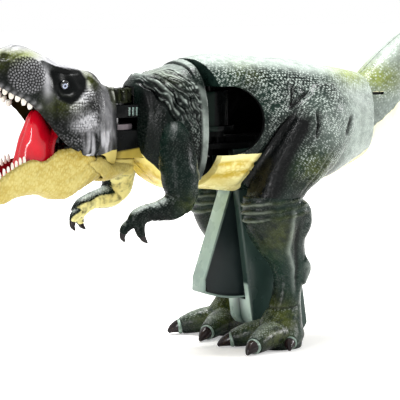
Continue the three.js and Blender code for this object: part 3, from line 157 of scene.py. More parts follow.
HEAD = (
    section(-93, 143.2, 97.2, 13, up=3.4), section(-98, 145.6, 97.2, 15, up=3.2),
    section(-104, 151.8, 98.6, 17.6), section(-110, 153.2, 103.4, 19.2, 121, down=3),
    section(-116, 155.4, 107, 19.8, 122, down=4), section(-122, 157.8, 111.6, 19.4, 124, down=5),
    section(-128, 160.2, 117.6, 18, 128, down=6), section(-134, 162.7, 125.6, 16.4, 134, down=6),
    section(-140, 165.4, 133, 15.2, 140, down=6), section(-146, 167.2, 138.2, 14.4, 144, down=6),
    section(-152, 165.8, 141.4, 13.2, 147, down=6), section(-158, 162.6, 145, 11.6, 150, down=6),
    section(-164, 159, 147.6, 9, 151.6, down=5), section(-168.6, 155.6, 149.4, 5.4, 152),
    section(-170.4, 153.6, 151, 2.4),
)
JAW = (
    section(-101.4, 103.6, 95.4, 11.6), section(-105, 110, 94, 14), section(-109.5, 116.4, 92, 15.6, down=3),
    section(-114.5, 117.4, 89, 16, 102, 8, 3), section(-120, 114.4, 86.2, 15.4, 102, 8, 3),
    section(-127.5, 112.6, 85.8, 14, 102, 8, 3), section(-134.5, 107.8, 88.4, 13.2, 102, 8, 3),
    section(-141, 108, 88.8, 12.4, 101, 8, 3), section(-148, 106, 87.4, 11.6, 99, 8, 3),
    section(-155, 101.6, 84.9, 10.6, 95, 8, 3), section(-161, 97.4, 84.6, 8.8, 92, 6, 3),
    section(-165.6, 94.4, 85.8, 6.2, 90, 5, 3), section(-168.6, 91.6, 87.4, 3),
)
# x, z, tilt, half width and half height
TAIL = (
    (61, 122.6, 0, 15.4, 20.6), (66.4, 122.8, 3, 15.8, 20.8), (73, 125.6, 16, 15.8, 20.2),
    (80.6, 131.6, 34, 15.2, 18.6), (88.6, 140.6, 46, 14.2, 17), (99, 152.4, 47, 12, 14.4),
    (112, 165.2, 42, 9.4, 11.2), (127, 176.6, 32, 6.8, 8), (144, 185.6, 23, 4.4, 5),
    (159, 190.6, 14, 2.4, 2.8), (170.2, 192.6, 8, 0.9, 1),
)
GRIP = (
    (-21.8, GRIP_TOP), (-8.8, 13.2), (-5.5, 9.4), (19.9, 5.6),
    (25, 6), (27.3, 9.5), (21.1, 50.3), (13, GRIP_TOP),
)


# Starting forms, and how they are joined, cut and softened

def pick(piece):
    bpy.ops.object.select_all(action="DESELECT")
    piece.select_set(True)
    bpy.context.view_layer.objects.active = piece


def edit(piece, select="SELECT"):
    pick(piece)
    bpy.ops.object.mode_set(mode="EDIT")
    bpy.ops.mesh.select_all(action=select)


def leave_edit():
    bpy.ops.object.mode_set(mode="OBJECT")


def apply(piece, kind, **settings):
    pick(piece)
    modifier = piece.modifiers.new(kind.title(), kind)
    for key, value in settings.items():
        setattr(modifier, key, value)
    bpy.ops.object.modifier_apply(modifier=modifier.name)
    return piece


def points(piece):
    flat = np.empty(len(piece.data.vertices) * 3)
    piece.data.vertices.foreach_get("co", flat)
    return flat.reshape(-1, 3) / MM


def put(piece, spots):
    piece.data.vertices.foreach_set("co", (spots * MM).ravel())
    piece.data.update()


def normals(piece):
    flat = np.empty(len(piece.data.vertices) * 3)
    piece.data.vertex_normals.foreach_get("vector", flat)
    return flat.reshape(-1, 3)


def push(piece, height):
    """Moves every point of the skin out along its normal"""
    put(piece, points(piece) + normals(piece) * height[:, None])


def join(first, *others):
    bpy.ops.object.select_all(action="DESELECT")
    for piece in (first, *others):
        piece.select_set(True)
    bpy.context.view_layer.objects.active = first
    bpy.ops.object.join()
    return first


def duplicate(piece, name):
    pick(piece)
    bpy.ops.object.duplicate()
    copy = bpy.context.object
    copy.name = name
    return copy


def face_out(piece):
    edit(piece)
    bpy.ops.mesh.remove_doubles(threshold=0.02 * MM)
    bpy.ops.mesh.normals_make_consistent(inside=False)
    leave_edit()


def fuse(piece, voxel, rounds):
    """Melts overlapping forms into one skin and softens the creases"""
    apply(piece, "REMESH", mode="VOXEL", voxel_size=voxel * MM)
    apply(piece, "SMOOTH", factor=0.5, iterations=rounds)
    return piece


def block(low, high):
    bpy.ops.object.select_all(action="DESELECT")
    bpy.ops.mesh.primitive_cube_add(size=1)
    piece = bpy.context.object
    low = np.asarray(low, float)
    put(piece, low + (points(piece) * MM + 0.5) * (np.asarray(high) - low))
    return piece


def post(radius, z0, z1, x, y=0, sides=48):
    bpy.ops.object.select_all(action="DESELECT")
    bpy.ops.mesh.primitive_cylinder_add(vertices=sides, radius=radius * MM, depth=(z1 - z0) * MM)
    piece = bpy.context.object
    put(piece, points(piece) + (x, y, (z0 + z1) / 2))
    return piece


def rod(radius, y0, y1, x, z, sides=48):
    piece = post(radius, y0, y1, 0, 0, sides)
    spots = points(piece)
    put(piece, np.stack([spots[:, 0] + x, spots[:, 2], z - spots[:, 1]], 1))
    return piece


def plate(outline, low, high, flat="XZ"):
    """A plate with its outline drawn in X and Z, or in X and Y, from low to high on the third axis"""
    bpy.ops.object.select_all(action="DESELECT")
    bpy.ops.mesh.primitive_circle_add(vertices=len(outline), fill_type="NGON")
    piece = bpy.context.object
    a, b = np.asarray(outline, float).T
    level = np.full(len(a), float(low))
    side_view = flat == "XZ"
    put(piece, np.stack([a, level, b] if side_view else [a, b, level], 1))
    edit(piece)
    move = (0, (high - low) * MM, 0) if side_view else (0, 0, (high - low) * MM)
    bpy.ops.mesh.extrude_region_move(TRANSFORM_OT_translate={"value": move})
    bpy.ops.mesh.select_all(action="SELECT")
    bpy.ops.mesh.normals_make_consistent(inside=False)
    leave_edit()
    return piece


def dress(piece, outer, inner=None):
    """Puts the outer and the inner material on, and keeps which face has which"""
    while len(piece.data.materials) < 2:
        piece.data.materials.append(None)
    piece.data.materials[0] = outer
    piece.data.materials[1] = inner


def cut(piece, *cutters, operation="DIFFERENCE"):
    """Cuts a closed piece with closed forms. The cut faces take the second material"""
    dress(piece, None)
    for cutter in cutters:
        dress(cutter, None)
        if operation == "DIFFERENCE":
            cutter.data.polygons.foreach_set("material_index", [1] * len(cutter.data.polygons))
        apply(piece, "BOOLEAN", object=cutter, operation=operation, solver="MANIFOLD")
        bpy.data.objects.remove(cutter)
    return piece


# Smooth curves through a few stations

def curve(xs, values, at):
    xs = np.asarray(xs, float)
    values = np.asarray(values, float)
    slope = np.gradient(values, xs)
    i = np.clip(np.searchsorted(xs, at) - 1, 0, len(xs) - 2)
    span = xs[i + 1] - xs[i]
    t = np.clip((at - xs[i]) / span, 0, 1)
    a = (1 + 2 * t) * (1 - t) ** 2 * values[i] + t * (1 - t) ** 2 * span * slope[i]
    return a + t * t * (3 - 2 * t) * values[i + 1] + t * t * (t - 1) * span * slope[i + 1]


def superellipse(angle, up, down):
    c = np.cos(angle)
    s = np.sin(angle)
    power = 2 / np.where(s >= 0, up, down)
    return np.sign(c) * np.abs(c) ** power, np.sign(s) * np.abs(s) ** power


def tube(rows, columns, place, cap=0.04):
    """A closed skin wrapped from a grid. place(along, around) gives each point's centre and offset"""
    bpy.ops.object.select_all(action="DESELECT")
    bpy.ops.mesh.primitive_grid_add(x_subdivisions=rows, y_subdivisions=columns, size=1)
    piece = bpy.context.object
    spots = points(piece) * MM + 0.5
    along = np.clip((spots[:, 0] - cap) / (1 - 2 * cap), 0, 1)
    shrink = np.clip(np.minimum(spots[:, 0], 1 - spots[:, 0]) / cap, 0, 1)
    centre, offset = place(along, spots[:, 1] * 2 * math.pi)
    put(piece, centre + offset * shrink[:, None])
    face_out(piece)
    return piece


def loft(stations, ring, rows, columns, cap):
    """A skin through stations. ring(t, around, *values) gives centre and offset at a place t"""
    table = np.array(sorted(stations), float).T
    ts = table[0]

    def place(along, around):
        t = ts[0] + along * (ts[-1] - ts[0])
        return ring(t, around, *(curve(ts, row, t) for row in table[1:]))

    return tube(rows, columns, place, cap)


def along_x(stations, rows=150, columns=120, grow=0.0, cap=0.04):
    def ring(x, around, top, floor, half, wide, up, down):
        c, s = superellipse(around, up, down)
        reach = np.where(s >= 0, top - wide, wide - floor) + grow
        return np.stack([x, 0 * x, wide], 1), np.stack([0 * x, c * (half + grow), s * reach], 1)

    return loft(stations, ring, rows, columns, cap)


def along_z(stations, side, grow=0.0, rows=90, columns=72, cap=0.04):
    def ring(z, around, front, rear, y, half):
        c, s = superellipse(around, SOFT_OVAL, SOFT_OVAL)
        centre = np.stack([(front + rear) / 2, side * y, z], 1)
        return centre, np.stack([c * ((rear - front) / 2 + grow), s * (half + grow), 0 * z], 1)

    return loft(stations, ring, rows, columns, cap)


def along_tail(stations, grow=0.0, rows=150, columns=72, cap=0.03):
    def ring(x, around, z, tilt, wide, tall):
        tilt = np.radians(tilt)
        c, s = superellipse(around, SOFT_OVAL, SOFT_OVAL)
        rise = s * (tall + grow)
        offset = np.stack([-np.sin(tilt) * rise, c * (wide + grow), np.cos(tilt) * rise], 1)
        return np.stack([x, 0 * x, z], 1), offset

    return loft(stations, ring, rows, columns, cap)


def along_path(stations, side=1, rows=60, columns=32, cap=0.1):
    table = np.array(stations, float)
    table[:, 1] *= side
    steps = np.linalg.norm(np.diff(table[:, :3], axis=0), axis=1)
    run = np.concatenate([[0], np.cumsum(steps)])

    def spot(t):
        return np.stack([curve(run, table[:, k], t) for k in range(3)], 1)

    def place(along, around):
        t = along * run[-1]
        ahead = spot(np.minimum(t + 0.2, run[-1])) - spot(np.maximum(t - 0.2, 0))
        ahead /= np.linalg.norm(ahead, axis=1)[:, None]
        across = np.array([0.2, side, 0.1])
        across = across - ahead * (ahead @ across)[:, None]
        across /= np.linalg.norm(across, axis=1)[:, None]
        third = np.cross(ahead, across)
        radius = curve(run, table[:, 3], t)[:, None]
        return spot(t), radius * (np.cos(around)[:, None] * across + np.sin(around)[:, None] * third)

    return tube(rows, columns, place, cap)


def arc(x, y, radius, start, end, steps):
    return [(x + radius * math.cos(a), y + radius * math.sin(a)) for a in np.linspace(start, end, steps + 1)]


def edges(outline):
    """Corners of a closed outline, the edge from each to the next, and its unit normal inwards"""
    spots = np.asarray(outline, float)
    ahead = np.roll(spots, -1, 0) - spots
    area = (spots[:, 0] * np.roll(spots[:, 1], -1) - np.roll(spots[:, 0], -1) * spots[:, 1]).sum()
    inward = np.stack([-ahead[:, 1], ahead[:, 0]], 1) * math.copysign(1, area)
    return spots, ahead, inward / np.linalg.norm(inward, axis=1)[:, None]


def inset(outline, distance):
    """A convex outline with every edge moved inwards"""
    spots, ahead, inward = edges(outline)
    moved = spots + inward * distance
    result = []
    for i in range(len(spots)):
        a, b = ahead[i - 1], ahead[i]
        gap = moved[i] - moved[i - 1]
        t = (gap[0] * b[1] - gap[1] * b[0]) / (a[0] * b[1] - a[1] * b[0])
        result.append(tuple(moved[i - 1] + t * a))
    return result


# Sculpting: every mark is a soft push along the skin's normals

def from_line(x, z, line):
    """Distance from a bent line in the side view, and how far along it the nearest point is, 0 to 1"""
    line = np.asarray(line, float)
    lengths = np.linalg.norm(np.diff(line, axis=0), axis=1)
    total = lengths.sum()
    best = np.full(len(x), 1e9)
    share = np.zeros(len(x))
    before = 0.0
    for (ax, az), (bx, bz), length in zip(line[:-1], line[1:], lengths):
        t = np.clip(((x - ax) * (bx - ax) + (z - az) * (bz - az)) / length ** 2, 0, 1)
        gap = np.hypot(x - ax - t * (bx - ax), z - az - t * (bz - az))
        closer = gap < best
        best = np.where(closer, gap, best)
        share = np.where(closer, (before + t * length) / total, share)
        before += length
    return best, share


def mark(p, line, width, fade=0.25):
    """1 on the line, soft to the sides and at both ends"""
    gap, share = from_line(p[:, 0], p[:, 2], line)
    ends = np.clip(np.minimum(share, 1 - share) / fade, 0.01, 1)
    return np.exp(-(gap / width) ** 2) * np.sqrt(ends)


def shifted(line, x, z):
    return [(a + x, b + z) for a, b in line]


def beads(p, line, count, radius):
    """A row of round bumps on a bent line in the side view"""
    line = np.asarray(line, float)
    run = np.concatenate([[0], np.cumsum(np.linalg.norm(np.diff(line, axis=0), axis=1))])
    total = np.zeros(len(p))
    for t in np.linspace(0, run[-1], count):
        x = np.interp(t, run, line[:, 0])
        z = np.interp(t, run, line[:, 1])
        total = np.maximum(total, np.exp(-((p[:, 0] - x) ** 2 + (p[:, 2] - z) ** 2) / radius ** 2))
    return total


def blob(p, x, z, radius_x, radius_z, y=None, radius_y=8.0):
    """1 at a place in the side view, soft all round; with y only near that distance from the middle"""
    d = ((p[:, 0] - x) / radius_x) ** 2 + ((p[:, 2] - z) / radius_z) ** 2
    if y is not None:
        d = d + ((np.abs(p[:, 1]) - y) / radius_y) ** 2
    return np.exp(-d)


def step(value, low, high):
    t = np.clip((value - low) / (high - low), 0, 1)
    return t * t * (3 - 2 * t)


def above(p, line):
    """Height over a bent line in the side view"""
    xs, zs = np.array(sorted(line), float).T
    return p[:, 2] - np.interp(p[:, 0], xs, zs)


def ripple(p, seed, size):
    """Slow unevenness between about -1 and 1, the same on every run"""
    rng = np.random.default_rng(seed)
    total = np.zeros(len(p))
    for _ in range(6):
        way = rng.normal(size=3)
        way /= np.linalg.norm(way)
        total += np.sin(p @ way * 2 * math.pi / (size * rng.uniform(0.6, 1.5)) + rng.uniform(0, 6.28))
    return total / 3


def cells(p, size, seed, jitter=0.8):
    """Raised scales: 1 in the middle of a scale, 0 in the gap between two"""
    q = p / size
    base = np.floor(q).astype(np.int64)
    nearest = np.full(len(p), 9.0)
    second = nearest.copy()
    for shift in itertools.product((-1, 0, 1), repeat=3):
        corner = base + shift
        key = corner @ np.array([73856093, 19349663, 83492791]) + seed
        offset = np.stack([((key * f) % 1009) / 1009 for f in (31, 57, 97)], 1)
        gap = np.linalg.norm(corner + 0.5 + (offset - 0.5) * jitter - q, axis=1)
        second = np.where(gap < nearest, nearest, np.minimum(second, gap))
        nearest = np.minimum(nearest, gap)
    return step(second - nearest, 0.02, 0.45)


def paint(piece, **layers):
    """Stores soft masks on the skin for its material to read"""
    count = len(piece.data.vertices)
    for name in ("cream", "olive", "shade", "brush", "plain", "fold", "sheen"):
        values = np.zeros(count) + layers.get(name, 0.0)
        layer = piece.data.attributes.new(name, "FLOAT", "POINT")
        layer.data.foreach_set("value", np.clip(values, 0, 1).astype(np.float32))


def settle(piece, body, slot, *nodes, angle=50):
    pick(piece)
    bpy.ops.object.shade_smooth_by_angle(angle=math.radians(angle))
    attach(piece, body)
    if nodes:
        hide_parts(*nodes)


def halves(piece, body, slot, names, nodes):
    """Splits a skin into its two moulded halves"""
    outer, inner = piece.data.materials[:2]
    for word, side in SIDES.items():
        half = duplicate(piece, f"{names}_{word}")
        low, high = (SEAM_HALF, FAR) if side > 0 else (-FAR, -SEAM_HALF)
        cut(half, block((-FAR, low, -FAR), (FAR, high, FAR)), operation="INTERSECT")
        dress(half, outer, inner)
        settle(half, body, slot, f"{nodes}_{word}")
    bpy.data.objects.remove(piece)


# Materials

def node(tree, kind, **settings):
    new = tree.nodes.new(kind)
    for key, value in settings.items():
        if key.startswith("in_"):
            new.inputs[key[3:].replace("_", " ")].default_value = value
        else:
            setattr(new, key, value)
    return new


def blank(name):
    material = bpy.data.materials.new(name)
    material.use_nodes = True
    tree = material.node_tree
    return material, tree, tree.nodes["Principled BSDF"]


def feed(tree, socket, value):
    if isinstance(value, (int, float)):
        socket.default_value = value
    elif isinstance(value, tuple):
        socket.default_value = (*value, 1)
    else:
        tree.links.new(value, socket)


def mixed(tree, factor, a, b):
    """A mix of two colours"""
    mix = node(tree, "ShaderNodeMix", data_type="RGBA")
    feed(tree, mix.inputs[0], factor)
    feed(tree, mix.inputs[6], a)
    feed(tree, mix.inputs[7], b)
    return mix.outputs[2]


def maths(tree, operation, *values):
    new = node(tree, "ShaderNodeMath", operation=operation)
    for socket, value in zip(new.inputs, values):
        feed(tree, socket, value)
    return new.outputs[0]


def ramp(tree, value, low, high, to_low=0.0, to_high=1.0):
    shape = node(tree, "ShaderNodeMapRange", interpolation_type="SMOOTHSTEP")
    for name, number in (("From Min", low), ("From Max", high), ("To Min", to_low), ("To Max", to_high)):
        shape.inputs[name].default_value = number
    tree.links.new(value, shape.inputs["Value"])
    return shape.outputs["Result"]


def mask(tree, name):
    return node(tree, "ShaderNodeAttribute", attribute_name=name).outputs["Fac"]


def noise(tree, place, size, detail=3.0, rough=0.55):
    texture = node(tree, "ShaderNodeTexNoise", in_Scale=1000 / size, in_Detail=detail, in_Roughness=rough)
    tree.links.new(place, texture.inputs["Vector"])
    return texture.outputs["Fac"]


def scale_cells(tree, place, size, random, turn, stretch):
    """Raised scales: 0 in the gaps between them, 1 on top"""
    mapping = node(tree, "ShaderNodeMapping", vector_type="TEXTURE")
    mapping.inputs["Rotation"].default_value = tuple(math.radians(a) for a in turn)
    mapping.inputs["Scale"].default_value = stretch
    tree.links.new(place, mapping.inputs["Vector"])
    texture = node(tree, "ShaderNodeTexVoronoi", feature="F1", in_Scale=1000 / size, in_Randomness=random)
    tree.links.new(mapping.outputs["Vector"], texture.inputs["Vector"])
    return ramp(tree, texture.outputs["Distance"], 0.6, 0.1)


def skin_paint(name, deep, mid, pale, size, cream=(0.68, 0.58, 0.2), mustard=(0.46, 0.32, 0.03),
               olive=(0.07, 0.085, 0.008), dark=(0.0015, 0.002, 0.002), random=0.5, turn=(0, 35, 0),
               stretch=(1, 1, 1), dome=0.13, gloss=0.22, specular=0.16):
    """Moulded scaly plastic: dark and mid tones below, pale paint brushed over the scales, cream belly. The
    brush mask also carries painted highlights on upward faces, the sheen mask painted highlights, the shade
    mask painted shade, and the fold mask painted mustard shade in folds and pits
    """
    material, tree, shader = blank(name)
    place = node(tree, "ShaderNodeTexCoord").outputs["Object"]
    scales = scale_cells(tree, place, size, random, turn, stretch)
    broad = noise(tree, place, 24, 3.0)
    fine = noise(tree, place, 4, 4.0)
    green = mixed(tree, ramp(tree, broad, 0.38, 0.64), deep, mid)
    mossy = maths(tree, "MULTIPLY", mask(tree, "olive"), ramp(tree, fine, 0.25, 0.6))
    green = mixed(tree, mossy, green, olive)
    # Painted highlight: a pale colour, tinted where olive, mixed in where the sheen mask is set
    soft = maths(tree, "MULTIPLY", mask(tree, "sheen"), ramp(tree, fine, 0.3, 0.6, 0.7, 1.0))
    tinted = mixed(tree, mask(tree, "olive"), pale, tuple(3.4 * part for part in olive))
    green = mixed(tree, soft, green, tinted)
    # Pale paint brushed on the scale tops, together with painted highlights on upward faces
    lifted = maths(tree, "MULTIPLY", scales, ramp(tree, fine, 0.32, 0.58, 0.3, 1.0))
    green = mixed(tree, maths(tree, "MULTIPLY", lifted, mask(tree, "brush")), green, pale)
    # Painted shade: creases, grooves and hollows darkened
    green = mixed(tree, mask(tree, "shade"), green, dark)
    straw = mixed(tree, ramp(tree, broad, 0.42, 0.72, 0.0, 0.5), cream, mustard)
    # Painted shade: the cream skin darkened to mustard in its folds and pits
    fold_shade = maths(tree, "MULTIPLY", mask(tree, "fold"), ramp(tree, fine, 0.2, 0.6))
    straw = mixed(tree, fold_shade, straw, mustard)
    edge = maths(tree, "MULTIPLY_ADD", maths(tree, "SUBTRACT", fine, 0.5), 0.5, mask(tree, "cream"))
    tree.links.new(mixed(tree, ramp(tree, edge, 0.4, 0.6), green, straw), shader.inputs["Base Color"])
    tree.links.new(ramp(tree, fine, 0.25, 0.75, gloss - 0.07, gloss + 0.12), shader.inputs["Roughness"])
    shader.inputs["Specular IOR Level"].default_value = specular
    raised = maths(tree, "MULTIPLY", scales, maths(tree, "SUBTRACT", 1.0, mask(tree, "plain")))
    height = maths(tree, "MULTIPLY_ADD", fine, 0.3, raised)
    bump = node(tree, "ShaderNodeBump", in_Strength=1.0, in_Distance=dome * MM)
    tree.links.new(height, bump.inputs["Height"])
    tree.links.new(bump.outputs["Normal"], shader.inputs["Normal"])
    return material


def plastic(name, colour, other, gloss=0.3, grain=0.03, size=12, specular=0.35, metallic=0.0, **masks):
    """Plain moulded plastic or metal. A mask of the piece, such as sheen, can carry a colour of its own; on
    the grip and the trigger that colour is a painted highlight
    """
    material, tree, shader = blank(name)
    place = node(tree, "ShaderNodeTexCoord").outputs["Object"]
    broad = noise(tree, place, size, 4.0)
    tone = mixed(tree, ramp(tree, broad, 0.35, 0.65), colour, other)
    for layer, paler in masks.items():
        share = maths(tree, "MULTIPLY", mask(tree, layer), ramp(tree, broad, 0.3, 0.6, 0.75, 1.0))
        tone = mixed(tree, share, tone, paler)
    tree.links.new(tone, shader.inputs["Base Color"])
    tree.links.new(ramp(tree, broad, 0.3, 0.7, gloss - 0.05, gloss + 0.08), shader.inputs["Roughness"])
    shader.inputs["Specular IOR Level"].default_value = specular
    shader.inputs["Metallic"].default_value = metallic
    bump = node(tree, "ShaderNodeBump", in_Strength=1.0, in_Distance=grain * MM)
    tree.links.new(noise(tree, place, 1.2, 2.0), bump.inputs["Height"])
    tree.links.new(bump.outputs["Normal"], shader.inputs["Normal"])
    return material


def eye_material():
    material, tree, shader = blank("eye_blue")
    place = node(tree, "ShaderNodeTexCoord").outputs["Object"]
    flat = node(tree, "ShaderNodeVectorMath", operation="MULTIPLY")
    flat.inputs[1].default_value = (1, 0, 1)
    tree.links.new(place, flat.inputs[0])
    centre = node(tree, "ShaderNodeVectorMath", operation="DISTANCE")
    centre.inputs[1].default_value = (IRIS_CENTRE[0] * MM, 0, IRIS_CENTRE[1] * MM)
    tree.links.new(flat.outputs[0], centre.inputs[0])
    radius = centre.outputs["Value"]
    pupil, iris, iris_edge, rim_start = (ring * MM for ring in IRIS_RINGS)
    ring = mixed(tree, ramp(tree, radius, pupil, iris), (0.004, 0.006, 0.016), (0.34, 0.38, 0.5))
    rim = mixed(tree, ramp(tree, radius, iris_edge, rim_start), ring, (0.002, 0.002, 0.003))
    tree.links.new(rim, shader.inputs["Base Color"])
    shader.inputs["Roughness"].default_value = 0.08
    return material


# DARK_GREEN and SHADE_GREEN are darker copies of DEEP_GREEN and BODY_GREEN, used on the chest and the arms as
# painted shade
DARK_GREEN = (0.0012, 0.003, 0.0022)
SHADE_GREEN = (0.003, 0.009, 0.0065)
DEEP_GREEN = (0.002, 0.006, 0.0045)
BODY_GREEN = (0.006, 0.019, 0.013)
PALE_SAGE = (0.48, 0.55, 0.5)
HEAD_DARK = (0.003, 0.0035, 0.003)
HEAD_GREY = (0.008, 0.01, 0.009)
LAVENDER = (0.46, 0.46, 0.48)
MINT = (0.26, 0.34, 0.29)

body_paint = skin_paint("body_paint", DEEP_GREEN, BODY_GREEN, PALE_SAGE, 1.1, cream=(0.9, 0.84, 0.4),
                        mustard=(0.55, 0.4, 0.05), random=0.55, stretch=(1.5, 1, 0.85))
chest_paint = skin_paint("chest_paint", DARK_GREEN, SHADE_GREEN, PALE_SAGE, 1.3, cream=(0.8, 0.7, 0.25),
                         dome=0.1, specular=0.09)
head_paint = skin_paint("head_paint", HEAD_DARK, HEAD_GREY, LAVENDER, 1.4, dome=0.1, specular=0.07)
jaw_paint = skin_paint("jaw_paint", DEEP_GREEN, BODY_GREEN, PALE_SAGE, 1.3, cream=(0.55, 0.475, 0.17),
                       mustard=(0.36, 0.25, 0.03), dome=0.16, gloss=0.36, random=1.0, stretch=(0.7, 1, 2))
limb_paint = skin_paint("limb_paint", DEEP_GREEN, BODY_GREEN, PALE_SAGE, 1.1, dome=0.07)
arm_paint = skin_paint("arm_paint", DARK_GREEN, SHADE_GREEN, PALE_SAGE, 1.1, cream=(0.85, 0.8, 0.36),
                       dome=0.07, specular=0.08)
tail_paint = skin_paint("tail_paint", DEEP_GREEN, BODY_GREEN, PALE_SAGE, 1.4, cream=(0.86, 0.85, 0.6),
                        mustard=(0.7, 0.62, 0.25), turn=(0, -40, 0), random=0.7, stretch=(1.25, 1, 0.85))
front_green = plastic("front_green", (0.003, 0.01, 0.0075), (0.008, 0.02, 0.015), 0.3, 0.05, 6, specular=0.3)
# Near-black for the inner faces of the shells and for the parts inside the waist: painted shade where the
# inside lies unlit
cavity_shade_black = plastic("cavity_shade_black", (0.001, 0.0012, 0.0012), (0.002, 0.0025, 0.0025), 0.5, specular=0.1)
black_plastic = plastic("black_plastic", (0.002, 0.0025, 0.0025), (0.004, 0.005, 0.005), 0.24, specular=0.2)
mouth_brown = plastic("mouth_brown", (0.008, 0.005, 0.002), (0.03, 0.02, 0.005), 0.4, specular=0.15)
frame_paint = plastic("frame_paint", (0.002, 0.0025, 0.0025), (0.004, 0.005, 0.005), 0.2, specular=0.1,
                      olive=(0.006, 0.016, 0.011), cream=(0.42, 0.32, 0.06))
# Pale grey for the ribs of the neck block: painted highlight on the ribs
rib_highlight_grey = plastic("rib_highlight_grey", (0.14, 0.2, 0.18), (0.2, 0.27, 0.24), 0.2)
# Pinkish grey for the neck crank: a painted highlight standing in for the glints along its edges
link_highlight_grey = plastic("link_highlight_grey", (0.2, 0.17, 0.185), (0.28, 0.24, 0.26), 0.3)
steel = plastic("steel", (0.5, 0.5, 0.5), (0.62, 0.62, 0.63), 0.28, 0.01, 6, 0.5, 1.0)
dark_steel = plastic("dark_steel", (0.03, 0.03, 0.03), (0.05, 0.05, 0.052), 0.35, 0.01, 6, 0.5, 1.0)
# The tongue's shade colour is painted shade, a darker red at the rear and the bottom
tongue_red = plastic("tongue_red", (0.72, 0.004, 0.018), (0.6, 0.002, 0.012), 0.14, 0.02, 14, 0.6,
                     shade=(0.09, 0.0, 0.003))
lining_red = plastic("lining_red", (0.3, 0.001, 0.007), (0.2, 0.001, 0.005), 0.3, 0.03, 10)
ivory = plastic("ivory", (0.78, 0.75, 0.68), (0.68, 0.63, 0.54), 0.22, 0.02, 3, 0.45)
claw_black = plastic("claw_black", (0.005, 0.003, 0.003), (0.016, 0.009, 0.009), 0.15, 0.03, 4, 0.25)
cuticle = plastic("cuticle", MINT, (0.12, 0.17, 0.14), 0.3, 0.03, 3)
# The sheen colours of the grip and the trigger are painted highlights on their front faces
grip_green = plastic("grip_green", (0.02, 0.038, 0.032), (0.027, 0.049, 0.041), 0.3, 0.02, 30, specular=0.3,
                     sheen=(0.42, 0.54, 0.47))
trigger_green = plastic("trigger_green", (0.01, 0.024, 0.018), (0.016, 0.034, 0.026), 0.25, 0.03, 20,
                        sheen=(0.42, 0.56, 0.49))
# Near-black for the trigger's recessed side panels: painted shade in the recess
sector_shade_black = plastic("sector_shade_black", (0.006, 0.011, 0.011), (0.012, 0.02, 0.02), 0.34, 0.03, 24,
                       specular=0.25)
eye_blue = eye_material()


# Body

def nose_plan(behind=0):
    """Plan of the space in front of the body that the chest sweeps through"""
    reach = 60
    x = CHEST_AXIS_X - NOSE_R * math.cos(SWING) + reach * math.sin(SWING)
    y = NOSE_R * math.sin(SWING) + reach * math.cos(SWING)
    round_part = arc(CHEST_AXIS_X, 0, NOSE_R, math.pi - SWING, math.pi + SWING, 24)
    plan = [*round_part, (x, -y), (-FAR, -FAR), (-FAR, FAR), (x, y)]
    return [(a + behind, b) for a, b in plan]


def waist_outline():
    middle = (WAIST_TOP + WAIST_FLOOR) / 2
    radius = (WAIST_TOP - WAIST_FLOOR) / 2
    rear = arc(WAIST_REAR_X - radius, middle, radius, -math.pi / 2, math.pi / 2, 40)
    return [(CHEST_AXIS_X - 40, WAIST_FLOOR), *rear, (CHEST_AXIS_X - 40, WAIST_TOP)]


THIGH_GROOVE = ((5.4, 128.3), (-2.9, 120), (-10.5, 109.6), (-15.6, 100.1), (-19.4, 89.6), (-25, 80))
THIGH_RIDGE = ((4.7, 128.8), (-1.7, 116.7), (-9.3, 103.7), (-19.4, 90.8))
THIGH_LINES = (
    ((24.1, 107.5), (16.3, 95.9), (4.8, 84.1)),
    ((35.9, 106.6), (28.1, 95), (13.8, 84.8)),
    ((41, 117), (38, 105), (29, 94)),
)
HIP_SLITS = (
    ((6, 142.8), (4.7, 135.8), (2.2, 129.5)),
    ((15.6, 138.9), (8.5, 135.4), (2.8, 129.7)),
    ((15, 129.2), (15.6, 122.7), (13.1, 114.2)),
    ((38.6, 126.9), (36, 121.5), (33.4, 114.5)),
)
BELLY_FOLDS = (
    ((-46, 99), (-36, 101.5), (-25, 102), (-14, 100)),
    ((-44, 94.5), (-32, 95), (-22, 97), (-16, 95)),
)


def show_nose(form):
    """The belly's front walls, which the chest swings past, are painted like the belly"""
    faces = form.data.polygons
    flat = np.empty(len(faces) * 3)
    faces.foreach_get("center", flat)
    x, y, z = (flat.reshape(-1, 3) / MM).T
    faces.foreach_get("normal", flat)
    level = np.abs(flat.reshape(-1, 3)[:, 2]) < 0.3
    edge = np.abs(y) * math.sin(SWING) - (x - CHEST_AXIS_X) * math.cos(SWING) - NOSE_R
    wall = (np.abs(np.hypot(x - CHEST_AXIS_X, y) - NOSE_R) < 0.2) | (np.abs(edge) < 0.2)
    index = np.empty(len(faces), np.int32)
    faces.foreach_get("material_index", index)
    index[wall & level & (z < WAIST_FLOOR) & (x < -10)] = 0
    index[wall & level & (z > WAIST_TOP)] = 2
    form.data.materials.append(front_green)
    faces.foreach_set("material_index", index)


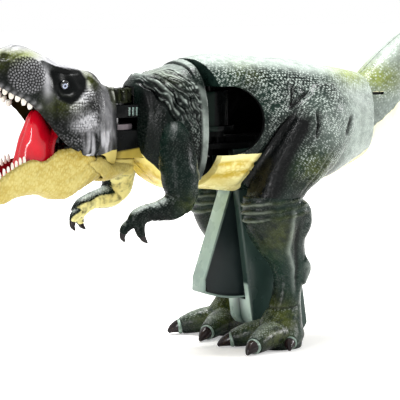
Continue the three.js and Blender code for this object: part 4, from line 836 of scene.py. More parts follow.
def body():
    form = along_x(TORSO)
    for side in SIDES.values():
        join(form, along_z(THIGH, side))
    fuse(form, 0.75, 8)
    p = points(form)
    outside = step(np.abs(p[:, 1]), 14, 20)
    height = 0.35 * ripple(p, 3, 26)
    height -= 2.6 * mark(p, THIGH_GROOVE, 2.2) * outside
    height += 1.0 * mark(p, shifted(THIGH_RIDGE, 5, 1), 2.6) * outside
    for line in THIGH_LINES:
        height -= 0.9 * mark(p, line, 1.1) * outside
        height += 0.8 * mark(p, shifted(line, -2.6, 1), 1.5) * outside
    height -= 1.9 * np.max([mark(p, line, 1.2) for line in HIP_SLITS], axis=0) * outside
    for line in HIP_SLITS:
        height += 0.8 * mark(p, shifted(line, 2.6, 0.6), 1.8) * outside
    for line in BELLY_FOLDS:
        height -= 0.7 * mark(p, line, 1.0)
    height += 0.8 * blob(p, 27, 132, 9, 9) * outside
    push(form, height)

    hollow = along_x(TORSO_HOLLOW, 60, 60, -WALL)
    for side in SIDES.values():
        join(hollow, along_z(THIGH_HOLLOW, side, -WALL, 40, 40))
    fuse(hollow, 1.6, 2)
    cut(hollow, plate(nose_plan(WALL), WAIST_TOP, ABOVE_ALL, "XY"))
    cut(
        form,
        hollow,
        plate(waist_outline(), -60, 60),
        plate(nose_plan(), 60, ABOVE_ALL, "XY"),
        plate(inset(GRIP, -0.3), -GRIP_HALF - 0.3, GRIP_HALF + 0.3),
        block((-23, -7, 80), (-8, 7, 100)),
    )

    p = points(form)
    x, y, z = p.T
    n = normals(form)
    outside = step(np.abs(y), 14, 20)
    thigh_front = np.interp(z, *zip(*sorted((z, x) for x, z in THIGH_GROOVE)))
    belly = step(thigh_front - x, -1, 1) * step(106.8 - z, -0.5, 0.5)
    under = step(-n[:, 2], 0.35, 0.6) * step(20 - np.abs(y), 0, 4)
    under = under * np.maximum(step(-19 - x, -1, 1), step(x, 22, 30))
    # Painted shade: the thigh groove, the hip slits and a wide band in front of the thigh
    groove = mark(p, THIGH_GROOVE, 2.0) + 0.85 * sum(mark(p, line, 1.3) for line in HIP_SLITS)
    band = np.clip(1.3 * mark(p, shifted(THIGH_GROOVE, 6.5, -1), 6.2, 0.15), 0, 1)
    # Painted highlights go on upward faces, the hip, the flank, the rump and along the thigh's lines; the
    # belly folds get painted mustard shade
    hip = blob(p, 27, 121, 17, 13)
    rump = step(x, 26, 52)
    rear_thigh = mark(p, shifted(THIGH_LINES[0], 7, 1), 3.2) * outside
    leather = 1 - cells(p * (0.7, 1, 1), 2.2, 7)
    paint(
        form,
        cream=np.maximum(belly, under),
        fold=sum(mark(p, line, 1.4) for line in BELLY_FOLDS) + 0.4 * blob(p, -20, 103, 9, 3)
        + 0.9 * blob(p, -27, 97, 11, 4.5) * leather,
        shade=np.clip(groove + band, 0, 1) * outside,
        brush=0.95 * step(n[:, 2], 0.1, 0.6) + 0.9 * hip + 0.75 * blob(p, 0, 130, 13, 17)
        + 0.5 * rump + 0.06 + 0.6 * blob(p, 8, 104, 7, 9) + 0.7 * rear_thigh,
        olive=0.9 * blob(p, 52, 147, 14, 6) + 0.5 * blob(p, 14, 98, 14, 8)
        + 0.3 * blob(p, -20, 150, 9, 6),
        plain=np.maximum(belly, 0.6 * blob(p, 32, 98, 12, 10)),
        sheen=0.8 * step(n[:, 2], 0.6, 0.95) * step(z, 143, 150) + 0.62 * rump + 0.25 * hip
        + 0.2 * mark(p, shifted(THIGH_LINES[1], -2.6, 1), 1.5) * outside,
    )
    show_nose(form)
    dress(form, body_paint, cavity_shade_black)
    halves(form, "root", "skin_green", "body_skin", "body_shell")


# Chest and arms

CHEST_WRINKLES = (
    ((-81.4, 149.8), (-74.2, 142.2), (-68.8, 134.2), (-65.2, 126.1), (-62.2, 118.1)),
    ((-78.3, 152.9), (-70.5, 147.5), (-63.9, 139.4), (-59.7, 130.3), (-56.7, 121.7)),
    ((-72.3, 153.8), (-64.5, 147.3), (-57.8, 138.6), (-53.6, 130), (-50.6, 120.4)),
)
CHEST_BAND_X = -50.6
CHEST_REAR_X = -46.8
CHEST_CREAM_EDGE = (
    (-86, 114.6), (-79.7, 111.1), (-75, 105.6), (-68.9, 99), (-62, 95), (-54, 93), (-44, 93.6),
)
CHEST_FOLDS = (
    ((-80.1, 105.3), (-74.1, 100.7), (-69.2, 95.2), (-64.4, 90.6)),
    ((-77, 101.5), (-72, 97), (-67, 91.5)),
)
HOOD_LIP = ((-84, 148.5), (-79.8, 150), (-73.8, 149.3), (-67.8, 142.8), (-66.6, 136.4), (-67.8, 132.2))
RIB_PLACES = (-84.6, -82.4, -80.2, -78, -75.8)
# Points and normals of the planes that give the neck block's paint its edges
PAINT_EDGES = (
    ((-33, 0, 0), (1, 0, 0)), ((-32, 0, 0), (1, 0, 0)), ((-60, 0, 0), (1, 0, 0)),
    ((-80, 0, 110.4), (-0.12, 0, 1)), ((-80, 0, 111.4), (-0.12, 0, 1)),
)


def hood_hollow(p, soft):
    """The hollow under the hood's lip, on both sides"""
    return blob(p, -75.5, 138, 6.5, 8.5, 15, soft)


def chest_shift(p):
    """Moves places a little to and fro, so that the wrinkles don't run straight"""
    wander = [ripple(p, 13, 9), 0 * p[:, 1], ripple(p, 14, 9)]
    return p + np.stack(wander, 1) * 1.1


def chest_grooves():
    """The long wrinkles and the finer ones between them"""
    lines = [np.asarray(line) for line in CHEST_WRINKLES]
    fine = [a + (b - a) * share for a, b in zip(lines[:-1], lines[1:]) for share in (0.33, 0.66)]
    fine += [lines[-1] + (shift, 0.25 * shift) for shift in (1.9, 3.8, 5.6, 7.4)]
    return lines, fine


def chest():
    form = along_x(CHEST, 120, 130, cap=0.06)
    fuse(form, 0.45, 4)
    p = points(form)
    x, y, z = p.T
    sides = step(np.abs(y), 2, 7)
    band = step(x, CHEST_BAND_X - 0.5, CHEST_BAND_X + 0.5)
    lines, fine = chest_grooves()
    height = 0.2 * ripple(p, 11, 18)
    uneven = chest_shift(p)
    broken = np.clip(0.55 + 0.6 * ripple(p, 12, 7), 0.1, 1) * sides * (1 - band)
    for line in lines:
        height -= 1.0 * mark(uneven, line, 0.7) * sides * (1 - band)
        height += 0.6 * mark(uneven, shifted(line, 1.2, 0.6), 0.8) * broken
    for line in fine:
        height -= 0.7 * mark(uneven, line, 0.5) * broken
        height += 0.5 * mark(uneven, shifted(line, 0.9, 0.45), 0.6) * broken
    height += 0.5 * band - 0.6 * np.exp(-((x - CHEST_BAND_X + 1) / 0.7) ** 2)
    height -= 1.8 * hood_hollow(p, 9)
    height += 1.4 * mark(p, HOOD_LIP, 1.6)
    for line in CHEST_FOLDS:
        height -= 1.0 * mark(p, line, 1.0)
        height += 0.6 * mark(p, shifted(line, 1.8, 1), 1.4)
    push(form, height)
    p = points(form)
    x, y, z = p.T
    put(form, np.stack([np.minimum(x, CHEST_REAR_X), y, z], 1))

    cut(
        form,
        fuse(along_x(CHEST_HOLLOW, 50, 50, -WALL - 1.6), 1.4, 1),
        block((-95, -10, 105.7), (-68, 10, 134.3)),
        post(YOKE_ROOM_R, 91.2, 107, NECK_AXIS_X),
        post(YOKE_ROOM_R, 133, 143.5, NECK_AXIS_X),
    )
    p = points(form)
    x, y, z = p.T
    n = normals(form)
    cream = step(-above(p, CHEST_CREAM_EDGE), -1.2, 1.2)
    sides = step(np.abs(y), 2, 7)
    uneven = chest_shift(p)
    # Painted shade in the wrinkles and the hood's hollow; painted highlights on the wrinkles' crests, the rim
    # band, upward faces and the hood lip
    groove = sum(mark(uneven, line, 0.8) for line in lines)
    groove = groove + 0.8 * sum(mark(uneven, line, 0.5) for line in fine)
    crest = sum(mark(uneven, shifted(line, 1.0, 0.5), 0.45) for line in (*lines, *fine))
    crest = crest * step(z, 112, 146) * step(ripple(p, 12, 4), -0.1, 0.4)
    band = step(x, CHEST_BAND_X - 0.4, CHEST_BAND_X + 0.4)
    hollow = hood_hollow(p, 10)
    # The cream mark at the front end of the hood lip is a painted highlight, the rest of the cream is the
    # belly's paint
    paint(
        form,
        cream=np.maximum(cream, 1.4 * mark(p, HOOD_LIP[:2], 1.1) * step(-x, 78.5, 80)),
        fold=sum(mark(p, line, 1.6) for line in CHEST_FOLDS) + 0.5 * blob(p, -80, 103, 4, 5),
        shade=0.9 * groove * sides * (1 - band) + hollow,
        brush=0.35 * step(n[:, 2], 0.45, 0.9) + 0.02 + 0.3 * blob(p, -55, 120, 5, 14),
        olive=0.2 * blob(p, -63, 148, 6, 5),
        plain=np.maximum(band, cream) + hollow,
        sheen=(0.14 + 0.4 * np.exp(-((z - 120) / 15) ** 2) + 0.15 * ripple(p, 15, 14)) * band
        + 0.75 * crest * sides * (1 - band) + 0.45 * step(n[:, 2], 0.75, 0.95) + 0.4 * mark(p, HOOD_LIP, 1.0),
    )
    dress(form, chest_paint, cavity_shade_black)
    halves(form, "chest", "skin_green", "chest_skin", "chest_shell")


def chest_block():
    """The black block between neck and waist: a softened copy of its solid with ribs on the neck tongue"""
    form = duplicate(bpy.data.objects["chest_frame"], "neck_and_waist_block")
    edit(form)
    bpy.ops.mesh.remove_doubles(threshold=0.005 * MM)
    leave_edit()
    apply(form, "BEVEL", width=0.45 * MM, segments=2, limit_method="ANGLE", angle_limit=math.radians(40))
    # The ribs take the second material, a pale grey that is a painted highlight
    for x in RIB_PLACES:
        for side in SIDES.values():
            rib = block((x, side * 9.5 - 0.5, 128.4), (x + 1.1, side * 9.5 + 0.5, 132.8))
            dress(rib, None)
            rib.data.polygons.foreach_set("material_index", [1] * len(rib.data.polygons))
            cut(form, rib, operation="UNION")
    edit(form)
    for place, normal in PAINT_EDGES:
        bpy.ops.mesh.select_all(action="SELECT")
        bpy.ops.mesh.bisect(plane_co=Vector(place) * MM, plane_no=normal)
    leave_edit()
    p = points(form)
    knuckle = step(p[:, 0], -60.5, -59.5) * step(-32.5 - p[:, 0], -0.4, 0.4)
    bottom = step(110.9 + 0.12 * (p[:, 0] + 80) - p[:, 2], -0.4, 0.4) * step(-65 - p[:, 0], -1, 1)
    paint(form, olive=knuckle, cream=bottom)
    dress(form, frame_paint, rib_highlight_grey)
    settle(form, "chest", "frame_black", "chest_frame")


def arms():
    for word, side in SIDES.items():
        form = along_path(ARM, side, 110, 56, 0.05)
        for finger in FINGERS:
            join(form, along_path(finger, side, 40, 24))
        fuse(form, 0.5, 5)
        p = points(form)
        height = 0.2 * ripple(p, 21, 9)
        height += 0.7 * blob(p, -66, 84, 6, 5)
        for wrist in (-81.5, -84.5, -87.5):
            height -= 0.35 * mark(p, ((wrist, 88), (wrist + 1, 72)), 0.6)
        for shift in (0, 3.2, 6.4):
            height -= 0.5 * mark(p, ((-76 + shift, 90 - shift), (-72 + shift, 83 - shift)), 0.7)
        push(form, height)
        cut(form, along_x(CHEST, 60, 60, 0.3))
        cut(form, rod(3.6, *sorted((21 * side, 30 * side)), -59.6, 114), operation="UNION")
        p = points(form)
        n = normals(form)
        inner = step(-n[:, 1] * side, 0.25, 0.6)
        low = step(-n[:, 2], 0.3, 0.7)
        # Painted highlights on the arms' upward faces and on the rear-facing forearms
        paint(
            form,
            cream=inner * (0.55 + 0.6 * low) * (1 - 0.5 * step(n[:, 2], 0.2, 0.6)),
            brush=0.6 * step(n[:, 2], 0.3, 0.9) * step(98 - p[:, 2], 0, 6) + 0.04
            + 0.3 * blob(p, -60, 90, 4, 8),
            olive=0.3 * blob(p, -66, 84, 6, 5),
            plain=0.5 * inner,
            sheen=0.45 * step(n[:, 2], 0.5, 0.9) * step(92 - p[:, 2], 0, 6)
            + 0.16 * step(n[:, 0], 0.4, 0.9) * step(p[:, 2], 84, 100) * step(110 - p[:, 2], 0, 6),
        )
        form.name = f"arm_skin_{word}"
        dress(form, arm_paint, arm_paint)
        settle(form, "chest", "skin_green", f"arm_{word}")
        for i, claw in enumerate(FINGER_CLAWS):
            tip = along_path(claw, side, 24, 20)
            tip.name = f"finger_claw_{word}_{i + 1}"
            dress(tip, claw_black)
            settle(tip, "chest", "frame_black")


# Head and mouth

BROW = ((-137.1, 159.4), (-129.7, 155.1), (-123.3, 153.9), (-116.4, 153.1), (-110, 152.7))
BROW_REAR = ((-110, 153), (-107.1, 148.2), (-104.2, 143.4))
SCALE_ROWS = (
    ((-125, 132.5), (-120.4, 134.4), (-115.7, 137.3), (-111.6, 140.8), (-107.5, 144.3)),
    ((-123.9, 125.4), (-119.3, 124.1), (-114.6, 125), (-111.1, 127.9), (-109.3, 133)),
)
CHEEK_WRINKLES = (
    ((-116.5, 121.9), (-117.1, 115.2), (-117.7, 108.5)),
    ((-111.8, 123.7), (-110.1, 117.4), (-109.5, 112.2)),
    ((-103.6, 129.6), (-102.5, 122.2), (-101.9, 113.9)),
)
# Where each ridge line starts and ends, and how far from the middle it lies
SNOUT_RIDGES = ((-150.7, -123.4, 4), (-135, -111.3, 2))
LIP = ((-163, 148.4), (-160, 146.9), (-153.3, 143), (-146, 139.4), (-139.7, 135.4))
LOWER_LID = ((-129, 143.4), (-126.6, 141), (-122.6, 140.6), (-119.4, 142.4))
HEAD_CREAM_EDGE = ((-120, 100), (-114.8, 105), (-104.3, 109), (-96, 111), (-78, 111))
# The soft skin that runs from the cheeks over the jaw's rear end to the neck
THROAT = (
    section(-112.5, 107, 103.6, 16.7, 105.4, down=3), section(-109.5, 109, 100.4, 16.8, 104, down=3),
    section(-106, 110, 97.2, 16, 103, down=3), section(-102.5, 110.5, 94.8, 15.2, 102.4, down=3),
    section(-99.6, 109, 93.8, 14.6, 101.8), section(-97, 106, 93.9, 14.1, 101.2),
    section(-95, 105.2, 94.2, 13.7, 101), section(-91, 105.2, 95.4, 12.7, 100.6),
    section(-87, 105.2, 96.8, 11.2, 100.8), section(-83, 105, 98, 9.2, 101.2),
    section(-80, 104, 98.8, 7, 101.4),
)
JAW_END_X = -100.8
PIT_DEPTH = 0.28
# Inner space of the throat skin, which leaves room for the links: low and high corners
THROAT_ROOM = (((-125, -11, 96), (-99.5, 11, 130)), ((-125, -11, 105.2), (-90, 11, 130)))
SNOUT_PATCH = (-145.4, 151.9)
SNOUT_SCALES = 160
SNOUT_PITCH = 0.84
# First X, pitch and number of the teeth on each side
UPPER_TEETH = (-143.4, 3.2, 7)
LOWER_TEETH = (-145.4, 2.15, 9)
MOUTH_LINING_R = 18
MOUTH_LINING_ANGLES = (math.radians(126), math.radians(196))
SOCKET = (
    (-132.9, 153.3), (-128.3, 155.2), (-119.7, 154.2), (-111.6, 153.1), (-109.9, 148.4), (-112.2, 142.3),
    (-117, 139), (-122.8, 135.5), (-129.6, 138.8), (-132.5, 144),
)
CHEEK_EDGE = ((-141, 133.3), (-133.8, 123.8), (-125.1, 113.6), (-119.2, 108.7), (-114.8, 106.8))


def snout_patch(p):
    x, y, z = p.T
    inside = 1 - ((x - SNOUT_PATCH[0]) / 11) ** 2 - ((z - SNOUT_PATCH[1]) / 10.4) ** 2
    return step(inside, 0, 0.3) * step(np.abs(y), 4, 8)


def mosaic_scales(p):
    """Small scales in spiral rows on the snout: 1 on top of a scale, 0 in the gaps"""
    nearest = np.full(len(p), 9.0)
    second = nearest.copy()
    for k in range(SNOUT_SCALES):
        reach = SNOUT_PITCH * math.sqrt(k)
        x = SNOUT_PATCH[0] + 1.05 * reach * math.cos(k * GOLDEN_ANGLE)
        z = SNOUT_PATCH[1] + reach * math.sin(k * GOLDEN_ANGLE)
        gap = np.hypot(p[:, 0] - x, p[:, 2] - z)
        second = np.where(gap < nearest, nearest, np.minimum(second, gap))
        nearest = np.minimum(nearest, gap)
    return step(second - nearest, 0.1, 0.75)


def within(p, outline, soft):
    """1 inside an outline in the side view, soft at its edge"""
    spots, _, inward = edges(outline)
    x, _, z = p.T
    depth = np.min([(x - a) * u + (z - b) * v for (a, b), (u, v) in zip(spots, inward)], axis=0)
    return step(depth, -soft, soft)


def scale_rows(p):
    """Bands of small raised scales behind and below the eye"""
    small = cells(p * (1, 0.5, 1), 1.5, 23, 0.5)
    return np.clip(sum(mark(p, line, 2.1) for line in SCALE_ROWS), 0, 1) * small


def neck_bumps(p):
    """Round bumps with folds between them, above the neck's black block"""
    x, y, z = p.T
    wave = np.cos((x + 94) * 2 * math.pi / 4.6)
    across = np.cos(y * 2 * math.pi / 9.3)
    turning = 1.1 * step(x, -91, -88.5)
    return (0.9 * wave - 0.2 + 0.3 * across - turning) * step(x, -98, -95.5) * step(z, 135.4, 137)


def snout_lines(p):
    return sum(
        np.exp(-((np.abs(p[:, 1]) - y) / 0.7) ** 2) * step(p[:, 2], 150, 154)
        * step(p[:, 0], start - 2, start + 2) * step(end - p[:, 0], -2, 2)
        for start, end, y in SNOUT_RIDGES)


def head():
    form = along_x(HEAD, 170, 120)
    join(
        form,
        *(post(YOKE_R, low, high, NECK_AXIS_X) for low, high in YOKE_LEVELS),
        *(block((-97, -YOKE_R, low), (NECK_AXIS_X, YOKE_R, high)) for low, high in YOKE_LEVELS),
    )
    fuse(form, 0.45, 4)
    p = points(form)
    x, y, z = p.T
    sides = step(np.abs(y), 4, 8)
    height = 0.2 * ripple(p, 31, 10)
    height += 0.4 * snout_patch(p) * mosaic_scales(p)
    height += 1.8 * mark(p, BROW, 1.2) * sides + 1.5 * mark(p, BROW_REAR, 1.4) * sides
    height -= 0.6 * blob(p, *SNOUT_PATCH, 11, 10) * (1 - snout_patch(p)) * sides
    height -= (1.2 * blob(p, -120.5, 146.3, 10, 6.8, 16, 8) + 0.8 * within(p, SOCKET, 1.8)) * sides
    height += 0.3 * mark(p, LOWER_LID, 0.9) * sides
    height += 0.6 * scale_rows(p) * sides
    for line in CHEEK_WRINKLES:
        height -= 0.9 * mark(p, line, 0.9) * sides
        height += 0.6 * mark(p, shifted(line, 2, 0), 1.2) * sides
    height += 1.2 * blob(p, -103.5, 124, 4.5, 12) * sides
    height -= 0.7 * snout_lines(p)
    height -= 1.8 * blob(p, -156, 161.4, 2.4, 1.4, 7, 4)
    height += 0.8 * beads(p, LIP, 8, 1.9) * sides
    height += neck_bumps(p) - 0.4 * step(x, -97, -95) * step(z, 133, 136)
    push(form, height)

    open_below = 24
    inside = [(x, top, floor - (open_below if x < -101 else 0), half, wide, up, 8 if x < -101 else 2.4)
              for x, top, floor, half, wide, up, _ in HEAD[1:-2]]
    inside.append((-90, *HEAD[0][1:]))
    room = fuse(along_x(inside, 70, 60, -WALL + 0.2), 1.0, 1)
    cut(
        room,
        block((-97, -13, 134.8), (-80, 13, 146)),
        block((-97, -13, 90), (-80, 13, 105.6)),
    )
    cut(form, room)
    p = points(form)
    x, y, z = p.T
    n = normals(form)
    sides = step(np.abs(y), 4, 8)
    patch = snout_patch(p)
    mosaic = mosaic_scales(p)
    rows = scale_rows(p)
    # Painted highlights: the cheek's shine and streaks, the rear cheek, before the eye, the snout's top, the
    # cheek edge, the lid, the lip and the neck bumps
    shine = blob(p, -114.5, 127.5, 6, 4.2) + 0.9 * blob(p, -110.5, 115, 4.6, 9)
    streaks = step(ripple(p * (1, 0.4, 0.12), 33, 3.4), -0.3, 0.6) * step(124 - z, 0, 4)
    dashes = 1 - 0.85 * cells(p * (1.6, 0.6, 0.6), 1.5, 17) * step(z, 121, 124)
    rear = blob(p, -100.6, 125, 5.6, 17) * step(x, -108, -105)
    before_eye = blob(p, -134.8, 148, 2.4, 7.5)
    snout_top = step(n[:, 2], 0.46, 0.62) * step(-x, 104, 112)
    snout_top = snout_top * (1 - blob(p, -158, 159.5, 8, 4) * step(np.abs(y), 2, 5))
    edge = mark(p, CHEEK_EDGE, 0.6, 0.05)
    cream = step(-above(p, HEAD_CREAM_EDGE), -0.8, 0.8) * step(x, -112, -108)
    socket = within(p, SOCKET, 1.2)
    lid = mark(p, LOWER_LID, 0.7)
    neck = step(x, -98, -95)
    bumps = np.clip(neck_bumps(p), 0, 1)
    nostril = blob(p, -157.5, 159.5, 6, 4.5) * step(np.abs(y), 2, 5)
    # Painted shade: the eye socket, the snout's ridge lines, the gaps of the snout's scales, the nostril and
    # the folds of the neck
    dark = np.clip(socket * sides + snout_lines(p) + 0.9 * patch * (1 - mosaic) + 0.8 * nostril, 0, 1)
    paint(
        form,
        cream=cream,
        fold=0.4 * blob(p, -100, 103, 5, 4),
        shade=dark * (1 - rows) * (1 - 0.5 * lid) + 0.5 * neck * (1 - bumps),
        brush=(0.35 * step(n[:, 2], 0.2, 0.8) + 0.3 * blob(p, -121, 118, 8, 8) + 0.04) * (1 - neck),
        olive=0.8 * blob(p, -159, 160, 8, 4) + 0.25 * neck * step(z, 130, 138)
        + 0.5 * blob(p, -109, 149, 4, 5) + 0.3 * blob(p, -128, 136, 10, 5)
        + 0.7 * blob(p, -146, 162, 10, 2.5),
        plain=patch + socket + rear + before_eye + cream,
        sheen=0.45 * patch * mosaic + 0.9 * rows
        + 1.1 * shine * np.maximum(streaks, dashes * step(z, 120, 124))
        + 1.4 * rear * (0.3 + 0.7 * streaks) + 0.85 * before_eye + 0.95 * snout_top + 0.45 * edge
        + 0.06 * lid + 0.3 * beads(p, LIP, 8, 1.3) + neck * bumps * step(n[:, 2], 0, 0.6),
    )
    dress(form, head_paint, mouth_brown)
    halves(form, "head", "head_dark", "head_skin", "head_shell")


def throat():
    form = fuse(along_x(THROAT, 90, 90), 0.5, 2)
    p = points(form)
    push(form, 0.2 * ripple(p, 35, 8) - PIT_DEPTH * leather_pits(p))
    sweep = [(x, top + 0.6, floor - 6, half + 0.6, wide, up, 8)
             for x, top, floor, half, wide, up, _ in JAW[:-1]]
    sweep[0] = (JAW_END_X, *sweep[0][1:])
    cut(form, along_x(sweep, 60, 60), *(block(low, high) for low, high in THROAT_ROOM))
    # Painted mustard shade in the throat skin's pits
    paint(form, cream=1.0, fold=0.5 * leather_pits(points(form)), plain=0.3)
    dress(form, jaw_paint, jaw_paint)
    form.name = "throat_skin"
    settle(form, "head", "belly_cream")


def eyes():
    for word, side in SIDES.items():
        bpy.ops.object.select_all(action="DESELECT")
        bpy.ops.mesh.primitive_uv_sphere_add(segments=48, ring_count=32, radius=EYE_R * MM)
        ball = bpy.context.object
        ball.name = f"eyeball_{word}"
        put(ball, points(ball) * (1, 0.8, 1) + np.array(EYE_CENTRE) * (1, side, 1))
        dress(ball, eye_blue)
        settle(ball, "head", "eye", f"eye_{word}")


def tooth(x, y, z, tall, radius, lean, way):
    """A blunt tooth: a ball drawn out to a rounded tip"""
    bpy.ops.object.select_all(action="DESELECT")
    bpy.ops.mesh.primitive_uv_sphere_add(segments=16, ring_count=12, radius=MM)
    piece = bpy.context.object
    p = points(piece)
    down = (1 - p[:, 2]) / 2
    share = radius * (1.1 - 0.35 * down) * np.maximum(np.hypot(p[:, 0], p[:, 1]), 1e-6) ** -0.45
    put(piece, np.stack([
        x + p[:, 0] * share - lean * down * tall,
        y + p[:, 1] * share * 0.8,
        z + way * down * tall,
    ], 1))
    return piece


def between(stations, x, row):
    xs = sorted(stations)
    return float(curve([s[0] for s in xs], [s[row] for s in xs], np.array([float(x)]))[0])


def tooth_row(name, pieces, body, node_name):
    row = join(*pieces)
    row.name = name
    face_out(row)
    dress(row, ivory)
    settle(row, body, "tooth_ivory", node_name)


def teeth():
    upper = [tooth(-164.6, y, 149.6, 5.6, 1.3, 0.1, -1) for y in (-1.9, 1.9)]
    first, pitch, count = UPPER_TEETH
    for i in range(count):
        x = first - pitch * i
        y = between(HEAD, x, 3) - 2.3
        z = between(HEAD, x, 2) + 1.6
        upper += [tooth(x, side * y, z, 3.8 + 0.3 * (i % 2), 1.7, 0.15, -1) for side in SIDES.values()]
    tooth_row("upper_tooth_row", upper, "head", "upper_teeth")
    lower = []
    first, pitch, count = LOWER_TEETH
    for i in range(count):
        x = first - pitch * i
        y = between(JAW, x, 3) - 2.7
        z = between(JAW, x, 1) - 1.6
        lower += [tooth(x, side * y, z, 4.3 + 0.4 * (i % 2), 0.95, 0.1, 1) for side in SIDES.values()]
    tooth_row("lower_tooth_row", lower, "jaw", "lower_teeth")


def jaw_room(grow):
    inside = [(x, top + 20, floor, half, wide, 8, down) for x, top, floor, half, wide, _, down in JAW[1:-1]]
    return fuse(along_x(inside, 60, 60, grow), 1.0, 1)


def leather_pits(p):
    """1 in the small pits of the jaw's and the throat's skin"""
    return 1 - cells(p * (1.2, 0.6, 0.7), 1.7, 9, 1.0)


def jaw():
    form = along_x(JAW, 140, 110)
    fuse(form, 0.5, 4)
    p = points(form)
    height = 0.3 * ripple(p, 41, 12) - PIT_DEPTH * leather_pits(p)
    height -= 0.8 * mark(p, ((-112, 104), (-118, 99), (-126, 96)), 1.2)
    height -= 0.6 * mark(p, ((-106, 101), (-112, 94), (-118, 90)), 1.0)
    push(form, height)
    cut(form, jaw_room(-WALL))
    p = points(form)
    # Painted mustard shade in the pits and round the hinge, and darker towards the top edge
    paint(
        form,
        cream=1.0,
        fold=0.55 * leather_pits(p) + 0.8 * blob(p, -112, 114, 9, 6) + 0.2 * step(p[:, 2], 96, 108),
        plain=0.3,
    )
    dress(form, jaw_paint, lining_red)
    form.name = "jaw_skin"
    settle(form, "jaw", "belly_cream", "lower_jaw")


# height, front, rear, Y and half width
TONGUE_RISE = (
    (93.6, -151, -122, 0, 8.6), (97, -150, -121, 0, 9.2), (105, -147, -121.6, 0, 8.8),
    (113, -144.8, -123.4, 0, 8.2), (120, -142.6, -126, 0, 7.4), (126, -140.2, -129, 0, 6),
    (130.4, -138, -131.6, 0, 4.2), (133, -136.6, -133.4, 0, 2.4),
)
TONGUE_BED = ((-162, 89), (-160, 93), (-152, 98), (-146, 102), (-132, 103), (-124, 104), (-124, 90))


def tongue():
    bed = cut(plate(TONGUE_BED, -16, 16), jaw_room(-2.7), operation="INTERSECT")
    hump = along_z(TONGUE_RISE, 1)
    join(hump, bed)
    fuse(hump, 0.5, 12)
    p = points(hump)
    x, y, z = p.T
    push(hump, (0.25 * ripple(p, 71, 9) - 0.9 * np.exp(-(y / 1.3) ** 2)) * step(z, 100, 106))
    p = points(hump)
    x, y, z = p.T
    # Painted shade: the tongue darker towards the rear and at the bottom
    paint(hump, shade=0.75 * step(x + 0.3 * (z - 110), -136, -126) + step(97 - z, 0, 4))
    dress(hump, tongue_red, tongue_red)
    hump.name = "tongue_form"
    settle(hump, "jaw", "tongue_red", "tongue")

    start, end = MOUTH_LINING_ANGLES
    outer = arc(*JAW_AXIS, MOUTH_LINING_R, start, end, 24)
    sheet = [*outer, *arc(*JAW_AXIS, MOUTH_LINING_R - 1.4, end, start, 24)]
    lining = plate(sheet, -11.4, 11.4)
    dress(lining, lining_red)
    lining.name = "mouth_lining"
    settle(lining, "jaw", "tongue_red")


# Legs

CUFF_RINGS = ((80.6, 1.1), (76.4, 1.3), (72, 1.2))
# How far along the claw each ring of its collar lies, and how much wider it is
COLLAR = ((-1.3, 0.4), (0, 0.5), (0.8, 0.1))
CALF = ((0.9, 81.4), (10, 75.5), (12, 68.9), (9.8, 60))
TENDON = ((-0.3, 78.6), (-0.9, 65.1), (-1.6, 54.3), (3, 44), (4, 30))
SHIN_GROOVE = ((3.6, 70), (3, 58), (5, 47), (5, 30))
HEEL = ((10.1, 48.5), (15.3, 44), (14.7, 39.1), (10.8, 35))
HEEL_SHEEN = ((10.1, 46.5), (15, 44), (14, 39.1), (9.8, 20))
ANKLE_FOLD = ((-14.3, 24.3), (-6, 22.5), (3.7, 22.8), (10, 24))


def cuff(p):
    """The knee's three rings, with their heights"""
    front = step(14 - p[:, 0], 0, 8)
    level = p[:, 2] - 0.12 * (p[:, 0] + 10) - 0.5 * ripple(p, 52, 16)
    return sum(tall * np.exp(-((level - z) / 0.95) ** 2) for z, tall in CUFF_RINGS) * front


def cuticles(side):
    """Pale collars where the claws leave the toes"""
    rings = []
    for claw in CLAWS:
        root, knuckle = np.array(claw[:2])
        ahead = (knuckle - root)[:3] / np.linalg.norm((knuckle - root)[:3])
        centre = root + 0.75 * (knuckle - root)
        stations = [(*(centre[:3] + ahead * shift), centre[3] + grow) for shift, grow in COLLAR]
        ring = along_path(stations, side, 16, 32, 0.2)
        above_floor(ring)
        dress(ring, limb_paint, cuticle)
        ring.data.polygons.foreach_set("material_index", [1] * len(ring.data.polygons))
        rings.append(ring)
    return rings


def above_floor(piece):
    p = points(piece)
    put(piece, np.stack([p[:, 0], p[:, 1], np.maximum(p[:, 2], 0)], 1))


